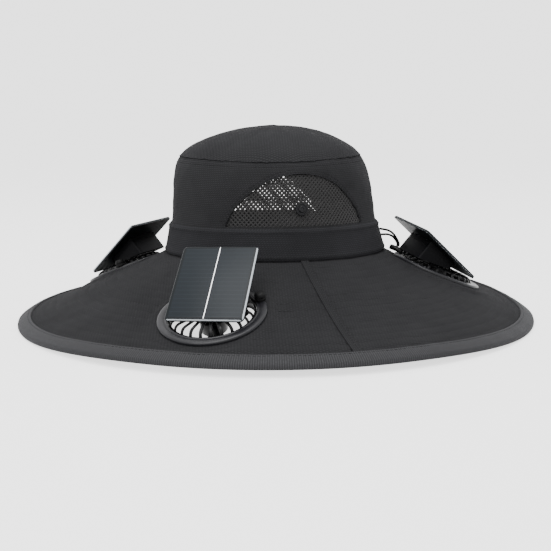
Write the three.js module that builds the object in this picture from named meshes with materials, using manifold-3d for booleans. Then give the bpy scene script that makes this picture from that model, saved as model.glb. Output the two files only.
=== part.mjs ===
// Solar fan hat: a cloth sun hat with a round crown, two net windows and three solar fans set in its brim.
// Millimetres, +Z up. The rim lies on Z = 0, the crown stands on the Z axis and the front fan faces -Y.
// An azimuth is counted in degrees from the front fan, towards +X.

import * as THREE from 'three';
import { mergeVertices } from 'three/addons/utils/BufferGeometryUtils.js';
import Module from 'manifold-3d';

const wasm = await Module();
wasm.setup();

// Cloth parts
const rimRadius = 225;
const crownLong = 98;
const crownShort = 91;
const crownFoot = 58;
const wallHeight = 80;
const domeRise = 28;
const crownLean = 3;
const crownLeanAzimuth = -73.5;
const tipSeamCurve = 4;
const cloth = 1.5;
const bandCloth = 1.2;
const bandHeight = 25;
const tapeCloth = 1.2;
const tapeWidth = 11;
const footWidth = 3;
const gap = 0.3;

// Half-moon windows of net, one on each side, each with a snap stud in its middle
const sideAzimuth = 31.5;
const windowHalfAngle = 42.5;
const windowHeight = 43;
const windowLift = 1.5;
const windowRound = 0.72;
const netThickness = 1;
const netEnd = 1.5;
const netSide = 0.5;
const studRadius = 5;
const studHeight = 2.2;
const studRise = 14;
const buttonRadius = 2.6;

// Fans, each in its own frame: Z along the shaft, Y up the brim to the crown, Z = 0 on the cloth
const ductRadius = 33;
const flangeWidth = 7.5;
const flangeHeight = 2.6;
const flangeChamfer = 1.2;
const collarWall = 2;
const collarDepth = 8.5;
const seatMargin = 3;
const seatEase = 6;
const ribCount = 26;
const ribWidth = 2.3;
const ribThickness = 1.3;
const guardRingTop = 1.2;
const guardRingFoot = -1;
const guardRingWall = 1.6;
const guardLean = 2.5;
const guardHeight = 6.5;
const hubCapRadius = 11;
const motorRadius = 8.5;
const motorDrop = 0.8;
const shaftRadius = 1.2;
const shaftRunning = 0.08;
const bladeCount = 3;
const bladeTip = 28.5;
const bladePitch = 32;
const bladeWidth = 10;
const bladeThickness = 1.2;
const bladeRoot = 2;
const bladeNeck = 0.7;
const bladeFlare = 1.3;
const bladeStart = 42;
const impellerHub = 10;
const impellerDrop = 13;
const hubFloor = 3;
const runningGap = 1.5;
const backRingHeight = 1.6;
const backRingWidth = 4.5;

// Battery box and solar panel on top of each fan
const panelWidth = 58;
const panelLength = 70;
const panelThickness = 2.6;
const panelCorner = 3;
const panelTilt = 20;
const panelSetBack = 12;
const boxWidth = 36;
const boxLength = 34;
const boxLeast = 6.8;
const boxCorner = 2.5;
const lugRadius = 4.2;
const lugHeight = 6;
const lugTop = 3;
const lugAzimuth = 30;

// Lead from the crown to the right fan
const wireRadius = 1;
const tailRadius = 0.9;
const plugLength = 13;
const plugWidth = 7;
const plugHeight = 4.5;
const plugCorner = 1;
const plugSetOut = 0.8;
const plugAzimuth = 42;
const wirePitch = 1.3;
const leadAzimuth = 110;

// The lead's two wires: rise up the band and side of the pair, as shares
const leadWires = [
  { name: 'lead_wire_upper', rise: 0.64, aside: 1 },
  { name: 'lead_wire_lower', rise: 0.42, aside: -1 },
];

// Their sag or arch between band and plug, as shares of the straight way
const leadRoute = [
  { along: 0.2, lift: 0.09 },
  { along: 0.45, lift: 0.2 },
  { along: 0.7, lift: 0.22 },
  { along: 0.88, lift: 0.12 },
];

// The tail's route beside the plug, as shares of the plug's size
const tailRoute = [
  { aside: 0, along: 0.62, up: 0.5 },
  { aside: 0.28, along: 0.62, up: 0.6 },
  { aside: 0.48, along: 0.42, up: 0.62 },
  { aside: 0.48, along: 0.2, up: 0.45 },
  { aside: 0.42, along: 0.1, up: 0.18 },
];

// Where each fan sits: azimuth, reach as a share of the rim's radius, slope of its seat, and the turn of
// the unit in its hole
const fanSeats = [
  { name: 'front', azimuth: 0, reach: 0.721, slope: 20.5, turn: 4.3 },
  { name: 'right', azimuth: 106, reach: 0.64, slope: 22, turn: 23.5 },
  { name: 'left', azimuth: -94.5, reach: 0.664, slope: 22, turn: -10.5 },
];

// Crown wall from foot to top seam: rise is a share of wallHeight, girth of the foot's radius
const wallSections = [
  { rise: 0, girth: 1 },
  { rise: 0.32, girth: 0.941 },
  { rise: 0.55, girth: 0.916 },
  { rise: 0.75, girth: 0.9 },
  { rise: 0.9, girth: 0.87 },
  { rise: 1, girth: 0.828 },
];

// Dome from the top seam to the middle: out is a share of the seam's radius, rise of domeRise
const domeSections = [
  { out: 1, rise: 0 },
  { out: 0.93, rise: 0.22 },
  { out: 0.78, rise: 0.5 },
  { out: 0.56, rise: 0.76 },
  { out: 0.3, rise: 0.94 },
  { out: 0, rise: 1 },
];

// Brim from the crown to the rim: out is a share of its width, drop of its fall
const brimSections = [
  { out: 0, drop: 0 },
  { out: 0.18, drop: 0.2 },
  { out: 0.36, drop: 0.39 },
  { out: 0.54, drop: 0.575 },
  { out: 0.72, drop: 0.74 },
  { out: 0.94, drop: 0.925 },
  { out: 1, drop: 1 },
];

// Soft dents pressed into the crown: azimuth and spread in degrees, rise and height as shares of the wall,
// depth as a share of the cloth's thickness
const crownDents = [
  { azimuth: -20, spread: 16, rise: 0.93, height: 0.2, depth: 1.1 },
  { azimuth: 40, spread: 14, rise: 0.97, height: 0.14, depth: -0.7 },
  { azimuth: 98, spread: 15, rise: 0.95, height: 0.18, depth: 0.9 },
  { azimuth: 150, spread: 20, rise: 0.8, height: 0.3, depth: 1.0 },
  { azimuth: -140, spread: 22, rise: 0.85, height: 0.25, depth: 1.1 },
  { azimuth: -75, spread: 14, rise: 0.96, height: 0.15, depth: -0.8 },
];

// Where the rim curls up off the ground: azimuth and spread in degrees, lift as a share of the brim's fall
const rimLifts = [
  { azimuth: -6, spread: 45, lift: 0.09 },
  { azimuth: 39, spread: 45, lift: 0.09 },
  { azimuth: 142, spread: 40, lift: 0.11 },
];

const crownSteps = 40;
const brimSteps = 56;
const ductSteps = 24;
const turnedSteps = 14;
const smallSteps = 12;
const lugSteps = 10;
const windowSteps = 14;
const cornerSteps = 2;
const wireSides = 5;
const wireSteps = 10;
const weldDistance = 0.0001;

function turnTo(azimuth, radius, height) {
  const angle = THREE.MathUtils.degToRad(azimuth);
  return new THREE.Vector3(radius * Math.sin(angle), -radius * Math.cos(angle), height);
}

// Smooth curve through the rows of a table
function through(rows, key, value, at) {
  let i = 0;
  while (i < rows.length - 2 && at > rows[i + 1][key]) {
    i += 1;
  }
  const slope = (j) => {
    const a = rows[Math.max(j - 1, 0)];
    const b = rows[Math.min(j + 1, rows.length - 1)];
    return (b[value] - a[value]) / (b[key] - a[key]);
  };
  const span = rows[i + 1][key] - rows[i][key];
  const t = THREE.MathUtils.clamp((at - rows[i][key]) / span, 0, 1);
  const start = rows[i][value];
  const end = rows[i + 1][value];
  const bend = t * (1 - t) * span * ((1 - t) * slope(i) - t * slope(i + 1));
  const ease = t * t * (3 - 2 * t);
  return start + (end - start) * ease + bend;
}

function angleBetween(a, b) {
  return ((a - b + 540) % 360 + 360) % 360 - 180;
}

// Oval foot of the crown, measured over the band, with its long axis across the windows
function footRadius(azimuth) {
  const angle = THREE.MathUtils.degToRad(azimuth - sideAzimuth - 90);
  return crownLong * crownShort / Math.hypot(crownShort * Math.cos(angle), crownLong * Math.sin(angle));
}

function dentDepth(azimuth, rise) {
  let depth = 0;
  for (const dent of crownDents) {
    const side = angleBetween(azimuth, dent.azimuth) / dent.spread;
    const level = (rise - dent.rise) / dent.height;
    depth += dent.depth * cloth * Math.exp(-side * side - level * level);
  }
  return depth;
}

function wallRadius(azimuth, rise) {
  const foot = footRadius(azimuth) - bandCloth - gap;
  const lean = crownLean * Math.max(rise, 0) * Math.cos(THREE.MathUtils.degToRad(azimuth - crownLeanAzimuth));
  return foot * through(wallSections, 'rise', 'girth', rise) + lean - dentDepth(azimuth, rise);
}

function wallPoint(azimuth, height, offset) {
  return turnTo(azimuth, wallRadius(azimuth, (height - crownFoot) / wallHeight) + offset, height);
}

const seamHeight = crownFoot + wallHeight;
const edgeHeight = tapeCloth + gap + cloth;

function brimInner(azimuth) {
  return wallRadius(azimuth, 0) + gap;
}

const brimEdge = rimRadius - tapeCloth - gap;

function azimuthOf(x, y) {
  return THREE.MathUtils.radToDeg(Math.atan2(x, -y));
}

function rimLift(azimuth) {
  let share = 0;
  for (const row of rimLifts) {
    const side = angleBetween(azimuth, row.azimuth) / row.spread;
    if (Math.abs(side) < 1) {
      share += row.lift * Math.cos(side * Math.PI / 2) ** 2;
    }
  }
  return share * (crownFoot - edgeHeight);
}

// Top of the brim before the fans flatten it
function brimFall(x, y) {
  const azimuth = azimuthOf(x, y);
  const inner = brimInner(azimuth);
  const out = THREE.MathUtils.clamp((Math.hypot(x, y) - inner) / (brimEdge - inner), 0, 1);
  const fall = (crownFoot - gap - edgeHeight) * through(brimSections, 'out', 'drop', out);
  return crownFoot - gap - fall + rimLift(azimuth) * out * out;
}

const flangeRadius = ductRadius + flangeWidth;
const seatFlat = flangeRadius + seatMargin;
const seatBlend = seatFlat + seatEase;
const seatRoom = gap;
const cutDepth = 8;

// Frame of each fan, seated on the brim
const fanFrames = fanSeats.map((seat) => {
  const centre = turnTo(seat.azimuth, seat.reach * rimRadius, 0);
  centre.z = brimFall(centre.x, centre.y);
  const turn = new THREE.Matrix4().makeRotationZ(THREE.MathUtils.degToRad(seat.azimuth));
  turn.multiply(new THREE.Matrix4().makeRotationX(THREE.MathUtils.degToRad(seat.slope)));
  const up = new THREE.Vector3(0, 0, 1).applyMatrix4(turn);
  turn.multiply(new THREE.Matrix4().makeRotationZ(THREE.MathUtils.degToRad(seat.turn)));
  const matrix = turn.clone().setPosition(centre);
  return { name: seat.name, centre, up, matrix };
});

// Top of the brim, drawn flat where a fan is clamped to it
function brimTop(x, y) {
  let height = brimFall(x, y);
  for (const frame of fanFrames) {
    const dx = x - frame.centre.x;
    const dy = y - frame.centre.y;
    const plane = frame.centre.z - (dx * frame.up.x + dy * frame.up.y) / frame.up.z;
    const share = 1 - THREE.MathUtils.smoothstep(Math.hypot(dx, dy), seatFlat, seatBlend);
    height += (plane - height) * share;
  }
  return height;
}

function brimPoint(azimuth, radius, offset) {
  const point = turnTo(azimuth, radius, 0);
  point.z = brimTop(point.x, point.y) + offset;
  return point;
}

// Closed body between two grids of points: rows of rings, the first grid facing out
function shell(outer, inner, closedRing) {
  const rows = outer.length;
  const count = outer[0].length;
  const positions = [];
  const index = [];
  for (const grid of [outer, inner]) {
    for (const ring of grid) {
      for (const p of ring) {
        positions.push(p.x, p.y, p.z);
      }
    }
  }
  const at = (side, row, i) => (side * rows + row) * count + (i % count);
  const quad = (a, b, c, d) => {
    index.push(a, b, c, a, c, d);
  };
  const last = closedRing ? count : count - 1;
  for (let row = 0; row < rows - 1; row += 1) {
    for (let i = 0; i < last; i += 1) {
      quad(at(0, row, i), at(0, row, i + 1), at(0, row + 1, i + 1), at(0, row + 1, i));
      quad(at(1, row, i), at(1, row + 1, i), at(1, row + 1, i + 1), at(1, row, i + 1));
    }
  }
  for (let i = 0; i < last; i += 1) {
    quad(at(0, 0, i), at(1, 0, i), at(1, 0, i + 1), at(0, 0, i + 1));
    quad(at(0, rows - 1, i), at(0, rows - 1, i + 1), at(1, rows - 1, i + 1), at(1, rows - 1, i));
  }
  if (!closedRing) {
    for (let row = 0; row < rows - 1; row += 1) {
      quad(at(0, row, 0), at(0, row + 1, 0), at(1, row + 1, 0), at(1, row, 0));
      quad(at(0, row, last), at(1, row, last), at(1, row + 1, last), at(0, row + 1, last));
    }
  }
  return indexed(positions, index);
}

function indexed(positions, index) {
  const geometry = new THREE.BufferGeometry();
  geometry.setAttribute('position', new THREE.Float32BufferAttribute(positions, 3));
  geometry.setIndex(index);
  return weld(geometry);
}

// Shared vertices joined, and triangles that closed up on a pole dropped
function weld(geometry) {
  const bare = geometry.clone();
  bare.deleteAttribute('normal');
  bare.deleteAttribute('uv');
  const merged = mergeVertices(bare, weldDistance);
  const kept = [];
  const ids = merged.index.array;
  for (let i = 0; i < ids.length; i += 3) {
    const [a, b, c] = [ids[i], ids[i + 1], ids[i + 2]];
    if (a !== b && b !== c && a !== c) {
      kept.push(a, b, c);
    }
  }
  merged.setIndex(kept);
  return merged;
}

function toSolid(geometry) {
  const joined = weld(geometry);
  return new wasm.Manifold(new wasm.Mesh({
    numProp: 3,
    vertProperties: new Float32Array(joined.attributes.position.array),
    triVerts: new Uint32Array(joined.index.array),
  }));
}

function toGeometry(solid) {
  const mesh = solid.getMesh();
  return indexed(Array.from(mesh.vertProperties), Array.from(mesh.triVerts));
}

// Body turned about Z from a closed outline of [radius, height] pairs, counted anticlockwise
function turned(outline, steps) {
  const points = outline.map(([radius, height]) => new THREE.Vector2(radius, height));
  points.push(points[0].clone());
  const body = new THREE.LatheGeometry(points, steps);
  body.rotateX(Math.PI / 2);
  return weld(body);
}

function disc(radius, low, high) {
  return turned([[0, low], [radius, low], [radius, high], [0, high]], ductSteps);
}

// Plate with round corners, its middle on the origin and its lower face on Z = 0
function plate(width, length, height, corner) {
  const shape = new THREE.Shape();
  const w = width / 2;
  const l = length / 2;
  shape.moveTo(-w + corner, -l);
  shape.lineTo(w - corner, -l);
  shape.absarc(w - corner, -l + corner, corner, -Math.PI / 2, 0, false);
  shape.lineTo(w, l - corner);
  shape.absarc(w - corner, l - corner, corner, 0, Math.PI / 2, false);
  shape.lineTo(-w + corner, l);
  shape.absarc(-w + corner, l - corner, corner, Math.PI / 2, Math.PI, false);
  shape.lineTo(-w, -l + corner);
  shape.absarc(-w + corner, -l + corner, corner, Math.PI, Math.PI * 1.5, false);
  return new THREE.ExtrudeGeometry(shape, { depth: height, bevelEnabled: false, curveSegments: cornerSteps });
}

// Round bar along a smooth path
function bar(points, radius, steps, sides) {
  const section = new THREE.Shape();
  for (let i = 0; i < sides; i += 1) {
    const angle = i * 2 * Math.PI / sides;
    const x = radius * Math.cos(angle);
    const y = radius * Math.sin(angle);
    if (i === 0) {
      section.moveTo(x, y);
    } else {
      section.lineTo(x, y);
    }
  }
  section.closePath();
  const path = new THREE.CatmullRomCurve3(points);
  return new THREE.ExtrudeGeometry(section, { steps, extrudePath: path, bevelEnabled: false });
}

const materials = {
  cloth: { color: 0x34343a, roughness: 0.92, metalness: 0 },
  band: { color: 0x303034, roughness: 0.92, metalness: 0 },
  tape: { color: 0x3c3c40, roughness: 0.9, metalness: 0 },
  net: { color: 0x141416, roughness: 0.85, metalness: 0 },
  metal: { color: 0x1c1c1e, roughness: 0.35, metalness: 0.6 },
  flange: { color: 0x3f3f45, roughness: 0.38, metalness: 0 },
  black: { color: 0x0d0d0f, roughness: 0.5, metalness: 0 },
  grey: { color: 0x1b1c20, roughness: 0.5, metalness: 0 },
  panel: { color: 0x333a42, roughness: 0.25, metalness: 0.1 },
  rubber: { color: 0x0b0b0c, roughness: 0.6, metalness: 0 },
};

const hat = new THREE.Group();

function add(parent, name, geometry, finish) {
  geometry.computeVertexNormals();
  const mesh = new THREE.Mesh(geometry, new THREE.MeshStandardMaterial(materials[finish]));
  mesh.name = name;
  parent.add(mesh);
}

// Height of the window's edge over the band, at an azimuth counted from its middle
function windowTop(offset, margin) {
  const share = Math.min(Math.abs(offset) / (windowHalfAngle - margin.angle), 1);
  return (windowHeight - margin.height) * (1 - share * share) ** windowRound;
}

const windowFoot = crownFoot + bandHeight + windowLift;

// Wall of the crown with its windows cut out
function crownWall() {
  const outer = [];
  const inner = [];
  for (const row of wallSections) {
    const height = crownFoot - cloth + row.rise * (wallHeight + cloth);
    const out = [];
    const inn = [];
    for (let i = 0; i < crownSteps; i += 1) {
      const azimuth = i * 360 / crownSteps;
      out.push(wallPoint(azimuth, height, 0));
      inn.push(wallPoint(azimuth, height, -cloth));
    }
    outer.push(out);
    inner.push(inn);
  }
  let wall = toSolid(shell(outer, inner, true));
  for (const middle of [sideAzimuth, sideAzimuth + 180]) {
    wall = wall.subtract(toSolid(windowBody(middle, { angle: 0, height: 0 }, cutDepth, windowSteps)));
  }
  return toGeometry(wall);
}

// Half-moon body of a window: the cutter when thick, the net when thin
function windowBody(middle, margin, outside, steps) {
  const outer = [[], []];
  const inner = [[], []];
  const half = windowHalfAngle - margin.angle;
  for (let i = 0; i <= steps; i += 1) {
    const offset = half * -Math.cos(i * Math.PI / steps);
    const low = windowFoot + margin.height;
    const high = low + Math.max(windowTop(offset, margin) - margin.height, 0);
    for (const [row, height] of [low, high].entries()) {
      outer[row].push(wallPoint(middle + offset, height, outside));
      inner[row].push(wallPoint(middle + offset, height, -outside - cloth));
    }
  }
  return shell(outer, inner, false);
}

// Net: a thin sheet inside the window, in rows from the band up to the edge
function windowNet(middle) {
  const margin = { angle: netSide, height: gap };
  const steps = windowSteps;
  const rows = 2;
  const half = windowHalfAngle - margin.angle - netEnd;
  const inset = (cloth - netThickness) / 2;
  const outer = [];
  const inner = [];
  for (let row = 0; row <= rows; row += 1) {
    const out = [];
    const inn = [];
    for (let i = 0; i <= steps; i += 1) {
      const offset = half * -Math.cos(i * Math.PI / steps);
      const low = windowFoot + margin.height;
      const high = windowFoot + windowTop(offset, margin) - margin.height;
      const height = low + (high - low) * row / rows;
      out.push(wallPoint(middle + offset, height, -inset));
      inn.push(wallPoint(middle + offset, height, -inset - netThickness));
    }
    outer.push(out);
    inner.push(inn);
  }
  return shell(outer, inner, false);
}

function crownTip() {
  const outer = [];
  const inner = [];
  for (const row of domeSections) {
    const out = [];
    const inn = [];
    for (let i = 0; i < crownSteps; i += 1) {
      const azimuth = i * 360 / crownSteps;
      const seam = wallRadius(azimuth, 1);
      const height = seamHeight + gap + domeRise * row.rise;
      const drop = cloth * (1 - row.out / 2) * (1 - row.out ** tipSeamCurve);
      out.push(turnTo(azimuth, seam * row.out, height));
      inn.push(turnTo(azimuth, (seam - cloth) * row.out, height - drop));
    }
    outer.push(out);
    inner.push(inn);
  }
  return shell(outer, inner, true);
}

function hatBand() {
  const outer = [];
  const inner = [];
  for (const share of [0, 0.5, 1]) {
    const height = crownFoot + share * bandHeight;
    const out = [];
    const inn = [];
    for (let i = 0; i < crownSteps; i += 1) {
      const azimuth = i * 360 / crownSteps;
      out.push(wallPoint(azimuth, height, gap + bandCloth));
      inn.push(wallPoint(azimuth, height, gap));
    }
    outer.push(out);
    inner.push(inn);
  }
  return shell(outer, inner, true);
}

// Brim of one sheet, with a round hole for each fan and its face flat under each flange
function brim() {
  const top = [];
  const under = [];
  const clearOfTape = (row) => crownLong + row.out * (brimEdge - crownLong) < rimRadius - tapeWidth;
  const rings = brimSections.filter(clearOfTape).map((row) => (inner) => inner + row.out * (brimEdge - inner));
  rings.push(() => rimRadius - tapeWidth, () => rimRadius - footWidth, () => brimEdge);
  for (const ring of rings) {
    const high = [];
    const low = [];
    for (let i = 0; i < brimSteps; i += 1) {
      const azimuth = i * 360 / brimSteps;
      const radius = ring(brimInner(azimuth));
      high.push(brimPoint(azimuth, radius, 0));
      low.push(brimPoint(azimuth, radius, -cloth));
    }
    top.unshift(high);
    under.unshift(low);
  }
  let sheet = toSolid(shell(top, under, true));
  const hole = ductRadius + collarWall + gap;
  const press = hole + backRingWidth + seatRoom;
  const seat = flangeRadius + seatRoom;
  for (const frame of fanFrames) {
    const duct = disc(hole, -cutDepth, cutDepth);
    const above = disc(seat, seatRoom / 2, cutDepth);
    const below = disc(press, -cutDepth, -cloth - seatRoom / 2);
    for (const cutter of [duct, above, below]) {
      sheet = sheet.subtract(toSolid(cutter.applyMatrix4(frame.matrix)));
    }
  }
  return toGeometry(sheet);
}

// Tape folded over the rim, flat where it lies on the ground
function brimBinding() {
  const rings = [];
  const foot = rimRadius - footWidth;
  const inner = rimRadius - tapeWidth;
  for (let i = 0; i < brimSteps; i += 1) {
    const azimuth = i * 360 / brimSteps;
    const lift = rimLift(azimuth);
    const above = gap;
    const below = -cloth - gap;
    const topAt = (radius, offset) => {
      const point = brimPoint(azimuth, Math.min(radius, brimEdge), offset);
      return turnTo(azimuth, radius, point.z);
    };
    rings.push([
      turnTo(azimuth, rimRadius, lift),
      turnTo(azimuth, rimRadius, lift + edgeHeight),
      topAt(foot, above + tapeCloth),
      topAt(inner, above + tapeCloth),
      topAt(inner, above),
      topAt(foot, above),
      topAt(brimEdge + gap, above),
      turnTo(azimuth, brimEdge + gap, lift + tapeCloth),
      topAt(foot, below),
      topAt(inner, below),
      topAt(inner, below - tapeCloth),
      turnTo(azimuth, foot, lift),
    ]);
  }
  const count = rings[0].length;
  const positions = [];
  const index = [];
  for (const ring of rings) {
    for (const p of ring) {
      positions.push(p.x, p.y, p.z);
    }
  }
  for (let i = 0; i < brimSteps; i += 1) {
    const next = (i + 1) % brimSteps;
    for (let j = 0; j < count; j += 1) {
      const k = (j + 1) % count;
      const [a, b, c, d] = [i * count + j, next * count + j, next * count + k, i * count + k];
      // The same diagonals as in the brim, so that the tape keeps its gap to it
      if (rings[i][j].length() < rings[i][k].length()) {
        index.push(a, b, d, b, c, d);
      } else {
        index.push(a, b, c, a, c, d);
      }
    }
  }
  return indexed(positions, index);
}

function snapStud(middle) {
  const inset = (cloth - netThickness) / 2;
  const height = windowFoot + studRise;
  const seat = wallPoint(middle, height, gap - inset);
  const above = wallPoint(middle, height + 1, gap - inset);
  const side = wallPoint(middle + 1, height, gap - inset);
  const normal = side.sub(seat).cross(above.sub(seat)).normalize();
  const stud = turned([
    [0, 0],
    [studRadius, 0],
    [studRadius, studHeight / 2],
    [buttonRadius, studHeight / 2],
    [buttonRadius, studHeight],
    [0, studHeight],
  ], smallSteps);
  stud.applyQuaternion(new THREE.Quaternion().setFromUnitVectors(new THREE.Vector3(0, 0, 1), normal));
  stud.translate(seat.x, seat.y, seat.z);
  return stud;
}

// Flange on the cloth, with the collar that goes down through it
function flange() {
  const collar = ductRadius + collarWall;
  return turned([
    [ductRadius, -collarDepth],
    [collar, -collarDepth],
    [collar, gap],
    [flangeRadius, gap],
    [flangeRadius, flangeHeight - flangeChamfer],
    [flangeRadius - flangeChamfer, flangeHeight],
    [ductRadius, flangeHeight],
  ], ductSteps);
}

function backRing() {
  const inner = ductRadius + collarWall + gap;
  const top = -cloth - gap;
  return turned([
    [inner, top - backRingHeight],
    [inner + backRingWidth, top - backRingHeight],
    [inner + backRingWidth, top],
    [inner, top],
  ], ductSteps);
}

// Dome of thin ribs from a ring in the duct up to the cap over the motor, moulded in one
function guard() {
  const ring = ductRadius - 2 * gap;
  const under = guardHeight - ribThickness;
  const stations = [
    { out: ring, high: guardRingTop, inn: ring - guardRingWall, low: guardRingTop },
    { out: ring - guardLean, high: guardHeight, inn: ring - guardLean - ribThickness, low: under },
    { out: hubCapRadius, high: guardHeight, inn: hubCapRadius, low: under },
  ];
  const positions = [];
  const index = [];
  const corner = (angle, radius, side, height) => {
    const across = side * ribWidth / 2;
    positions.push(
      radius * Math.cos(angle) - across * Math.sin(angle),
      radius * Math.sin(angle) + across * Math.cos(angle),
      height,
    );
  };
  const perRib = (stations.length + 1) * 4;
  for (let i = 0; i < ribCount; i += 1) {
    const angle = (i + 0.5) * 2 * Math.PI / ribCount;
    for (const row of stations) {
      corner(angle, row.out, -1, row.high);
      corner(angle, row.out, 1, row.high);
      corner(angle, row.inn, -1, row.low);
      corner(angle, row.inn, 1, row.low);
    }
    for (const radius of [ring, ring - guardRingWall]) {
      corner(angle, radius, -1, guardRingFoot);
      corner(angle, radius, 1, guardRingFoot);
    }
  }
  const capTop = positions.length / 3;
  positions.push(0, 0, guardHeight, 0, 0, under);
  const quad = (a, b, c, d) => {
    index.push(a, b, c, a, c, d);
  };
  const last = stations.length - 1;
  for (let i = 0; i < ribCount; i += 1) {
    const at = (row, k) => i * perRib + row * 4 + k;
    const next = (row, k) => ((i + 1) % ribCount) * perRib + row * 4 + k;
    const foot = last + 1;
    quad(at(foot, 0), at(foot, 1), at(0, 1), at(0, 0));
    quad(at(foot, 1), next(foot, 0), next(0, 0), at(0, 1));
    quad(at(foot, 3), at(foot, 2), at(0, 2), at(0, 3));
    quad(next(foot, 2), at(foot, 3), at(0, 3), next(0, 2));
    quad(at(foot, 0), at(foot, 2), at(foot, 3), at(foot, 1));
    quad(at(foot, 1), at(foot, 3), next(foot, 2), next(foot, 0));
    quad(at(0, 1), next(0, 0), next(0, 2), at(0, 3));
    for (let row = 0; row < last; row += 1) {
      quad(at(row, 0), at(row, 1), at(row + 1, 1), at(row + 1, 0));
      quad(at(row, 3), at(row, 2), at(row + 1, 2), at(row + 1, 3));
      quad(at(row, 0), at(row + 1, 0), at(row + 1, 2), at(row, 2));
      quad(at(row, 1), at(row, 3), at(row + 1, 3), at(row + 1, 1));
    }
    quad(at(last, 3), next(last, 2), next(last, 0), at(last, 1));
    index.push(capTop, at(last, 0), at(last, 1), capTop, at(last, 1), next(last, 0));
    index.push(capTop + 1, at(last, 3), at(last, 2), capTop + 1, next(last, 2), at(last, 3));
  }
  return indexed(positions, index);
}

const motorTop = guardHeight - ribThickness - gap;
const motorFoot = -motorDrop;
const shaftFoot = -impellerDrop + hubFloor;

function motor() {
  return turned([
    [0, shaftFoot],
    [shaftRadius, shaftFoot],
    [shaftRadius, motorFoot],
    [motorRadius, motorFoot],
    [motorRadius, motorTop],
    [0, motorTop],
  ], turnedSteps);
}

// Hub with a blind bore for the shaft and twisted blades fused to its side
function impeller() {
  const top = motorFoot - runningGap;
  const bore = shaftRadius + shaftRunning;
  const hub = turned([
    [0, -impellerDrop],
    [impellerHub, -impellerDrop],
    [impellerHub, top],
    [bore, top],
    [bore, shaftFoot - gap],
    [0, shaftFoot - gap],
  ], turnedSteps);
  let body = toSolid(hub);
  const middle = (top - collarDepth) / 2;
  for (let i = 0; i < bladeCount; i += 1) {
    const span = bladeTip - impellerHub + bladeRoot;
    const blade = new THREE.BoxGeometry(span, bladeWidth, bladeThickness, 2, 1, 1);
    const place = blade.attributes.position;
    for (let j = 0; j < place.count; j += 1) {
      const share = place.getX(j) / span + 0.5;
      place.setY(j, place.getY(j) * (bladeNeck + share * (bladeFlare - bladeNeck)));
    }
    blade.rotateX(THREE.MathUtils.degToRad(bladePitch));
    blade.translate(impellerHub - bladeRoot + span / 2, 0, middle);
    blade.rotateZ(THREE.MathUtils.degToRad(bladeStart) + i * 2 * Math.PI / bladeCount);
    body = body.add(toSolid(blade));
  }
  return toGeometry(body);
}

// Panel frame: tilted about a line across the fan, its outer edge low
const tilt = THREE.MathUtils.degToRad(panelTilt);
const boxFoot = guardHeight + gap;
const boxTop = panelThickness / 2 + gap;
const panelHigh = boxFoot + boxLength / 2 * Math.sin(tilt) + (boxTop + boxLeast) * Math.cos(tilt);
const panelFrame = new THREE.Matrix4().makeRotationX(tilt).setPosition(0, panelSetBack, panelHigh);

function solarPanel() {
  const body = plate(panelWidth, panelLength, panelThickness, panelCorner);
  body.translate(0, 0, -panelThickness / 2);
  return weld(body.applyMatrix4(panelFrame));
}

// Box square to the panel, cut level where it stands on the guard
function batteryBox() {
  const deep = boxLeast + boxLength * Math.tan(tilt) + boxCorner;
  const box = plate(boxWidth, boxLength, deep, boxCorner);
  box.translate(0, 0, -boxTop - deep);
  const above = plate(panelLength, panelLength, panelLength, boxCorner);
  above.translate(0, panelSetBack, boxFoot);
  return toGeometry(toSolid(box.applyMatrix4(panelFrame)).intersect(toSolid(above)));
}

function cableLug() {
  const lug = turned([
    [0, 0],
    [lugRadius, 0],
    [lugRadius, lugHeight / 2],
    [lugTop, lugHeight],
    [0, lugHeight],
  ], lugSteps);
  const angle = THREE.MathUtils.degToRad(lugAzimuth);
  const radius = ductRadius + lugRadius;
  lug.translate(radius * Math.cos(angle), radius * Math.sin(angle), flangeHeight + gap);
  return lug;
}

// Plug of the lead, lying on the flange of the right fan
const plugFoot = flangeHeight + gap;
const plugNear = ductRadius + plugSetOut;
const plugTurn = new THREE.Matrix4().makeRotationZ(THREE.MathUtils.degToRad(-plugAzimuth));

function leadPlug() {
  const body = plate(plugWidth, plugLength, plugHeight, plugCorner);
  body.translate(0, plugNear + plugLength / 2, plugFoot);
  return weld(body.applyMatrix4(plugTurn));
}

// A wire from the band to the plug, side by side with the other one
function leadWire(wire) {
  const frame = fanFrames.find((row) => row.name === 'right');
  const held = wallPoint(leadAzimuth, crownFoot + bandHeight * wire.rise, bandCloth + 2 * gap + seatRoom);
  const end = new THREE.Vector3(0, plugNear + plugLength / 2, plugFoot + plugHeight + gap);
  const over = end.clone().setZ(end.z + plugHeight / 2);
  end.applyMatrix4(plugTurn).applyMatrix4(frame.matrix);
  over.applyMatrix4(plugTurn).applyMatrix4(frame.matrix);
  const across = new THREE.Vector3(over.y - held.y, held.x - over.x, 0).setLength(wire.aside * wirePitch);
  for (const point of [held, over, end]) {
    point.add(across);
  }
  const points = [held];
  for (const row of leadRoute) {
    const point = held.clone().lerp(over, row.along);
    point.z += row.lift * held.distanceTo(over);
    points.push(point);
  }
  points.push(over, end);
  return weld(bar(points, wireRadius, wireSteps, wireSides));
}

// Short tail from the side of the plug round to the flange beside the duct
function leadTail() {
  const points = tailRoute.map((row) => new THREE.Vector3(
    -plugWidth / 2 - gap - row.aside * plugWidth,
    plugNear + plugLength * row.along,
    plugFoot + plugHeight * row.up,
  ));
  return weld(bar(points, tailRadius, wireSteps, wireSides).applyMatrix4(plugTurn));
}

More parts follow.
